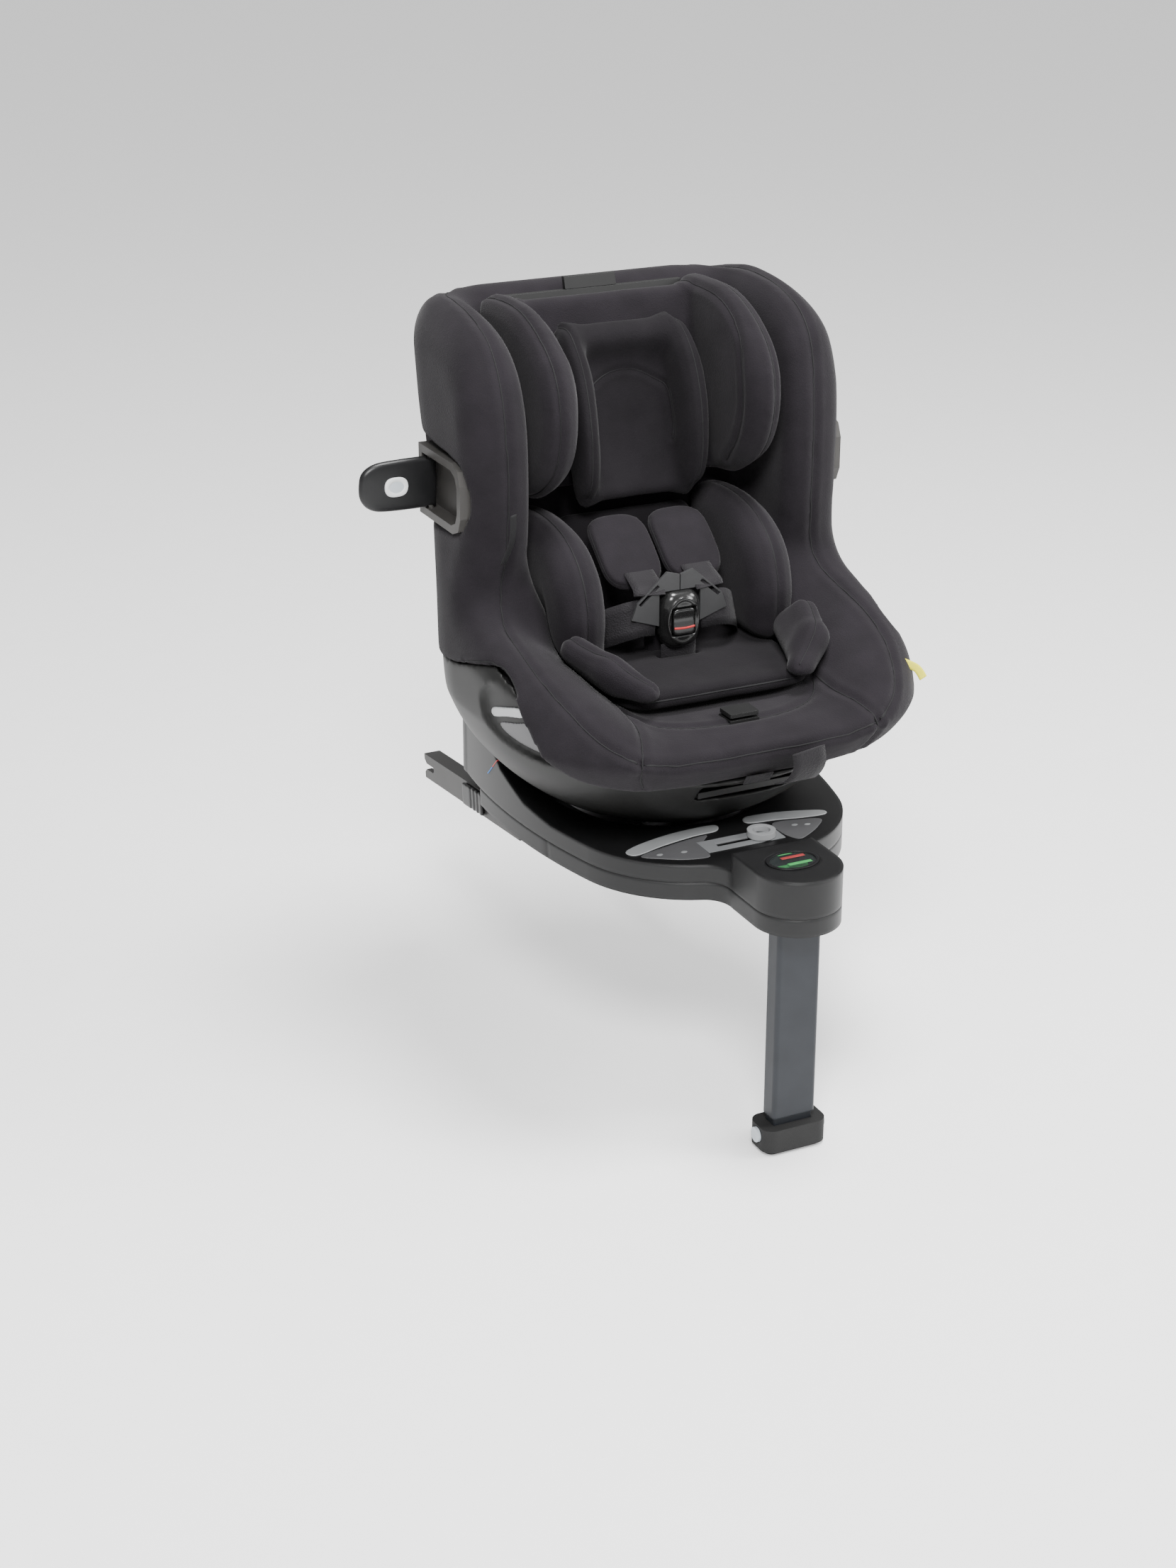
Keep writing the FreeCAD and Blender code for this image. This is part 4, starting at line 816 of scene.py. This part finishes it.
def strap(name, path, half_width, across, material, thick=1.6, rows=5):
    """Flat webbing that follows a path, with its width along the given directions, in mm."""
    path = [Vector(p) for p in curve(path, False, 8)]
    across = [Vector(a).normalized() for a in curve(across, False, 8)]
    points, faces = [], []
    columns = 2 * rows
    for i, (here, side) in enumerate(zip(path, across)):
        ahead = (path[min(i + 1, len(path) - 1)] - path[max(i - 1, 0)]).normalized()
        side = (side - ahead * side.dot(ahead)).normalized()
        up = side.cross(ahead).normalized()
        ring = [(2 * j / (rows - 1) - 1, 1) for j in range(rows)]
        ring += [(1 - 2 * j / (rows - 1), -1) for j in range(rows)]
        for over, top in ring:
            bulge = thick / 2 * (1 - 0.35 * abs(over) ** 6)
            points.append(here + side * half_width * over + up * top * bulge)
    for i in range(len(path) - 1):
        for j in range(columns):
            k = (j + 1) % columns
            faces.append((i * columns + j, i * columns + k, (i + 1) * columns + k, (i + 1) * columns + j))
    faces.append(tuple(range(columns)))
    faces.append(tuple((len(path) - 1) * columns + j for j in reversed(range(columns))))
    made = add_mesh(name, points, faces, material)
    turn_outward(made)
    return made


PAD_DOWN = (-0.766, -0.643)


def chest_pad_field(x, y, z):
    """A flat padded sleeve that bends over the child's chest."""
    along = (y - 20) * PAD_DOWN[0] + (z - 275) * PAD_DOWN[1]
    over = (y - 20) * PAD_DOWN[1] - (z - 275) * PAD_DOWN[0]
    plan = smooth_max(np.abs(x - 33) - 32, np.abs(along) - 43, 26)
    swell = 2.6 * (1 - np.exp(np.minimum(plan, 0) / 9.0))
    sag = 3.0 * (along / 43.0) ** 2
    return smooth_max(plan, np.abs(over + sag - 3) - 4.6 - swell, 7)


chest_pad = skin("chest_pad_left", chest_pad_field, (-4, -30, 236), (70, 66, 314), 1.8, KNIT)


def on_chest(x, along, over):
    """A point on the chest pad from its place across and down it."""
    return (x, 20 + along * PAD_DOWN[0] + over * PAD_DOWN[1],
            275 + along * PAD_DOWN[1] - over * PAD_DOWN[0])


rim_shape = ((-1, -0.8), (-1, 0), (-1, 0.75), (-0.7, 1), (0, 1.03), (0.7, 1), (1, 0.75), (1, 0),
             (1, -0.8))
rim = [on_chest(33 + 30 * u, 40.5 * v, 4) for u, v in rim_shape]
sew(chest_pad, rim, depth=0.9, width=1.8, piping=0.5)
lap_path = [(24, -30.5, 222), (44, -33, 224), (60, -26, 219), (78, -4, 206), (92, 26, 194)]
lap_across = [(0, 0.15, 1), (0, 0.2, 1), (0.1, 0.45, 0.9), (0.2, 0.7, 0.7), (0.2, 0.8, 0.5)]
lap = strap("lap_webbing_left", lap_path, 18, lap_across, WEBBING)
shoulder_path = [(33, -36, 247), (32, -30, 254), (31, -14, 259), (31, 10, 270)]
shoulder = strap("shoulder_webbing_left", shoulder_path, 16,
                 [(1, 0, -0.25), (1, 0, -0.1), (1, 0, 0), (1, 0, 0)],
                 WEBBING)
for piece, kind in ((chest_pad, "pad"), (lap, "strap"), (shoulder, "strap")):
    other = mirrored(piece, piece.name.replace("left", "right"))
    for half in (piece, other):
        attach(half, "seat")
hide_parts("shoulder_straps")
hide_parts("lap_straps")
crotch = strap("crotch_webbing", [(0, -33, 168), (0, -34, 182), (0, -34, 194)], 19, [(1, 0, 0)] * 3,
               WEBBING)
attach(crotch, "seat")
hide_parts("crotch_strap")


def crotch_pad_field(x, y, z):
    """The pad behind the buckle."""
    tall = smooth_max(np.abs(x) - 27, np.abs(z - 200) - 26, 16)
    swell = 2.0 * (1 - np.exp(np.minimum(tall, 0) / 8.0))
    return smooth_max(tall, np.abs(y + 14 + 0.1 * (z - 200)) - 4 - swell, 6)


crotch_pad = skin("crotch_cushion", crotch_pad_field, (-32, -30, 170), (32, 2, 230), 1.8, KNIT)
sew(crotch_pad, [(-25, -16, 178), (-25, -18, 218), (-16, -19, 225), (16, -19, 225), (25, -18, 218),
                 (25, -16, 178)], depth=0.8, width=1.8, piping=0.5)
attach(crotch_pad, "seat")
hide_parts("crotch_pad")

button_low, button_high = (np.asarray(c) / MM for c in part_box("buckle_button"))


def buckle_field(x, y, z):
    """The buckle's crowned case, with a raised oval line and a bay for the button."""
    half = np.interp(z, [190, 205, 232, 248], [17, 21.5, 22, 18.5])
    crown = 5.0 * np.sqrt(np.clip(1 - (x / 24.0) ** 2, 0, 1))
    front = -40.5 - crown * np.clip(1.2 - ((z - 219) / 34.0) ** 2, 0, 1)
    slab = smooth_max(np.abs(z - 219) - 29, np.maximum(front - y, y + 20), 9)
    body = smooth_max(np.abs(x) - half, slab, 12)
    oval = np.hypot(x, (z - 219) / 1.35)
    brow = smooth_max(oval - 17.5, 15.5 - oval, 1.5)
    body = smooth_min(body, smooth_max(brow, np.abs(y - front) - 1.1, 1), 1.5)
    bay = np.maximum(np.abs(x) - 12.5, np.maximum(np.abs(z - 218.5) - 14.0, y + 36))
    return smooth_max(body, -bay, 1.2)


buckle = skin("buckle_case", buckle_field, (-26, -54, 186), (26, -16, 252), 1.0, BUCKLE, relax=1)
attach(buckle, "seat")
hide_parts("buckle_housing")


def press_field(x, y, z):
    """The buckle's dished button."""
    middle = (button_low[2] + button_high[2]) / 2
    dish = 1.2 * np.exp(-(((z - middle - 3) / 7.0) ** 2))
    plan = smooth_max(np.abs(x) - 11.7, np.abs(z - middle) - 13.2, 5)
    return smooth_max(plan, np.abs(y - (button_low[1] + button_high[1]) / 2) - 3.0 + dish, 1.5)


press = skin("buckle_press", press_field, button_low - 3, button_high + 3, 0.8, BUCKLE, relax=1)
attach(press, "buckle_button")
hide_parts("buckle_button")
red_line = strap("buckle_red_line", [(-11, -46.9, 213.2), (0, -47.3, 212.6), (11, -46.9, 213.2)], 1.0,
                 [(0, 0, 1)] * 3, RED, thick=0.6)
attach(red_line, "buckle_button")

# ---------------------------------------------------------------- tabs and marks


def tab(name, path, across, half_width, material, body, thick=1.2):
    """A short flat tab of webbing or card."""
    made = strap(name, path, half_width, [across] * len(path), material, thick)
    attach(made, body)


tab("front_web_tab", [(34, -232, 147), (36, -231, 130), (34, -219, 113), (30, -203, 105)], (1, 0, 0), 17,
    WEBBING, "seat", 1.8)
tab("wing_tab_left", [(-176, -12, 292), (-172, -24, 318), (-172, -28, 344)], (0.9, 0.4, 0), 4, THREAD,
    "seat")
tab("wing_tab_right", [(204, 40, 330), (205, 42, 350), (205, 46, 370)], (0, 1, 0), 8, THREAD, "seat")
tab("elastic_end_right", [(188, -144, 180), (200, -152, 174), (206, -156, 164)], (0.5, 0, 0.85), 4,
    YELLOW, "seat", 1.4)
for name, (ay, az), (by, bz), material in (
        ("mark_blue", (71, 44), (59, 55.5), BLUE), ("mark_red", (59, 55.5), (47, 67), RED)):
    path = [(-158, ay, az), (-158, (ay + by) / 2, (az + bz) / 2), (-158, by, bz)]
    tab(name, path, (1, 0, 0), 2.2, material, "base")

# ---------------------------------------------------------------- moulded hard parts


def moulded(name, material, radius=2.0, voxel=0.9, relax=1):
    """A CAD node's shape with all its outer edges rounded to a radius."""
    node = nodes[name]
    work = bmesh.new()
    work.from_mesh(node.data)
    bmesh.ops.remove_doubles(work, verts=work.verts, dist=1e-6)
    bmesh.ops.triangulate(work, faces=work.faces)
    points = np.array([v.co[:] for v in work.verts]) / MM
    faces = np.array([[v.index for v in f.verts] for f in work.faces], dtype=np.uint32)
    work.free()
    for shift in (-radius, radius):
        steps = abs(shift) / voxel
        grid = openvdb.FloatGrid.createLevelSetFromPolygons(
            (points / voxel).astype(np.float32), triangles=faces if shift < 0 else None,
            quads=None if shift < 0 else faces, transform=openvdb.createLinearTransform(1.0),
            halfWidth=steps + 3.0)
        points, faces = grid.convertToQuads(shift / voxel)
        points = np.asarray(points, float) * voxel
        faces = np.asarray(faces, dtype=np.uint32)
    made = add_mesh(name.replace("_shell", "") + "_moulding", points, faces, material)
    soften(made, relax)
    turn_outward(made)
    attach(made, node["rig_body"])
    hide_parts(name)
    return made


SLOTS = {entry["node"]: entry["material_slot"] for entry in frame["record"]["subparts"]}
for name, material, radius in (("release_slide_left", POD, 0.9), ("release_slide_right", POD, 0.9)):
    moulded(name, material, radius)

# ---------------------------------------------------------------- finishes of the carried-over parts
FINISH = {
    "base_plastic": BASE, "bowl_plastic": BOWL, "inner_plastic": INNER, "fabric": KNIT,
          "webbing": WEBBING,
    "panel_silver": SILVER, "ring_grey": RING, "clear_lens": None, "drum": GREEN, "steel": STEEL,
    "dark_metal": LEG, "arm_metal": ARM, "foot_plastic": RUBBER, "foot_rubber": RUBBER,
    "button_grey": BUTTON, "pod_plastic": POD, "frame_grey": WARM, "buckle_plastic": BUCKLE,
    "buckle_red": BUCKLE, "tongue_grey": TONGUE,
}
LENS = bpy.data.materials.new("clear_window")
LENS.use_nodes = True
lens_shader = LENS.node_tree.nodes["Principled BSDF"]
lens_noise = LENS.node_tree.nodes.new("ShaderNodeTexNoise")
lens_noise.inputs["Scale"].default_value = 300.0
lens_bump = LENS.node_tree.nodes.new("ShaderNodeBump")
lens_bump.inputs["Strength"].default_value = 0.02
LENS.node_tree.links.new(lens_noise.outputs["Fac"], lens_bump.inputs["Height"])
LENS.node_tree.links.new(lens_bump.outputs["Normal"], lens_shader.inputs["Normal"])
lens_shader.inputs["Base Color"].default_value = (0.03, 0.035, 0.035, 1)
lens_shader.inputs["Roughness"].default_value = 0.08
lens_shader.inputs["Alpha"].default_value = 0.35
FINISH["clear_lens"] = LENS
OWN = {"lock_panel": SLOT, "info_plates": SILVER, "window_bezel": POD}
for name, node in nodes.items():
    node.data.materials.clear()
    node.data.materials.append(OWN.get(name, FINISH[SLOTS[name]]))

# ---------------------------------------------------------------- floor, light and camera
FLOOR_HALF = 40.0
floor_level = cad_low.z / MM - 0.5
corners = ((-1, -1), (1, -1), (1, 1), (-1, 1))
floor = add_mesh("floor", [(x * FLOOR_HALF / MM, y * FLOOR_HALF / MM, floor_level) for x, y in corners],
                 [(0, 1, 2, 3)], look("pale_floor", (0.86, 0.86, 0.86), 0.9, mottle=0.01))
glow = floor.data.materials[0].node_tree.nodes["Principled BSDF"]
glow.inputs["Emission Color"].default_value = (1, 1, 1, 1)
glow.inputs["Emission Strength"].default_value = 0.42

camera_data = bpy.data.cameras.new("camera")
camera_data.lens = 59.86
camera = bpy.data.objects.new("camera", camera_data)
bpy.context.scene.collection.objects.link(camera)
camera.location = (-1.1181, -2.1603, 1.0620)
camera.rotation_mode = "QUATERNION"
camera.rotation_quaternion = Vector((0.39817, 0.82993, -0.39073)).to_track_quat("-Z", "Y")
bpy.context.scene.camera = camera


def lamp(name, place, size, power):
    """A round soft light aimed at the seat."""
    data = bpy.data.lights.new(name, "AREA")
    data.shape = "DISK"
    data.size = size
    data.energy = power
    made = bpy.data.objects.new(name, data)
    bpy.context.scene.collection.objects.link(made)
    made.location = place
    made.rotation_mode = "QUATERNION"
    made.rotation_quaternion = (Vector((0, 0, 0.2)) - Vector(place)).to_track_quat("-Z", "Y")


lamp("key", (-1.1, -2.1, 2.4), 0.9, 140)
lamp("fill", (2.2, -1.2, 1.8), 1.4, 70)
lamp("top", (0.3, -0.3, 2.8), 1.0, 115)
world = bpy.data.worlds.new("studio")
world.use_nodes = True
world.node_tree.nodes["Background"].inputs["Color"].default_value = (1, 1, 1, 1)
world.node_tree.nodes["Background"].inputs["Strength"].default_value = 0.6
bpy.context.scene.world = world
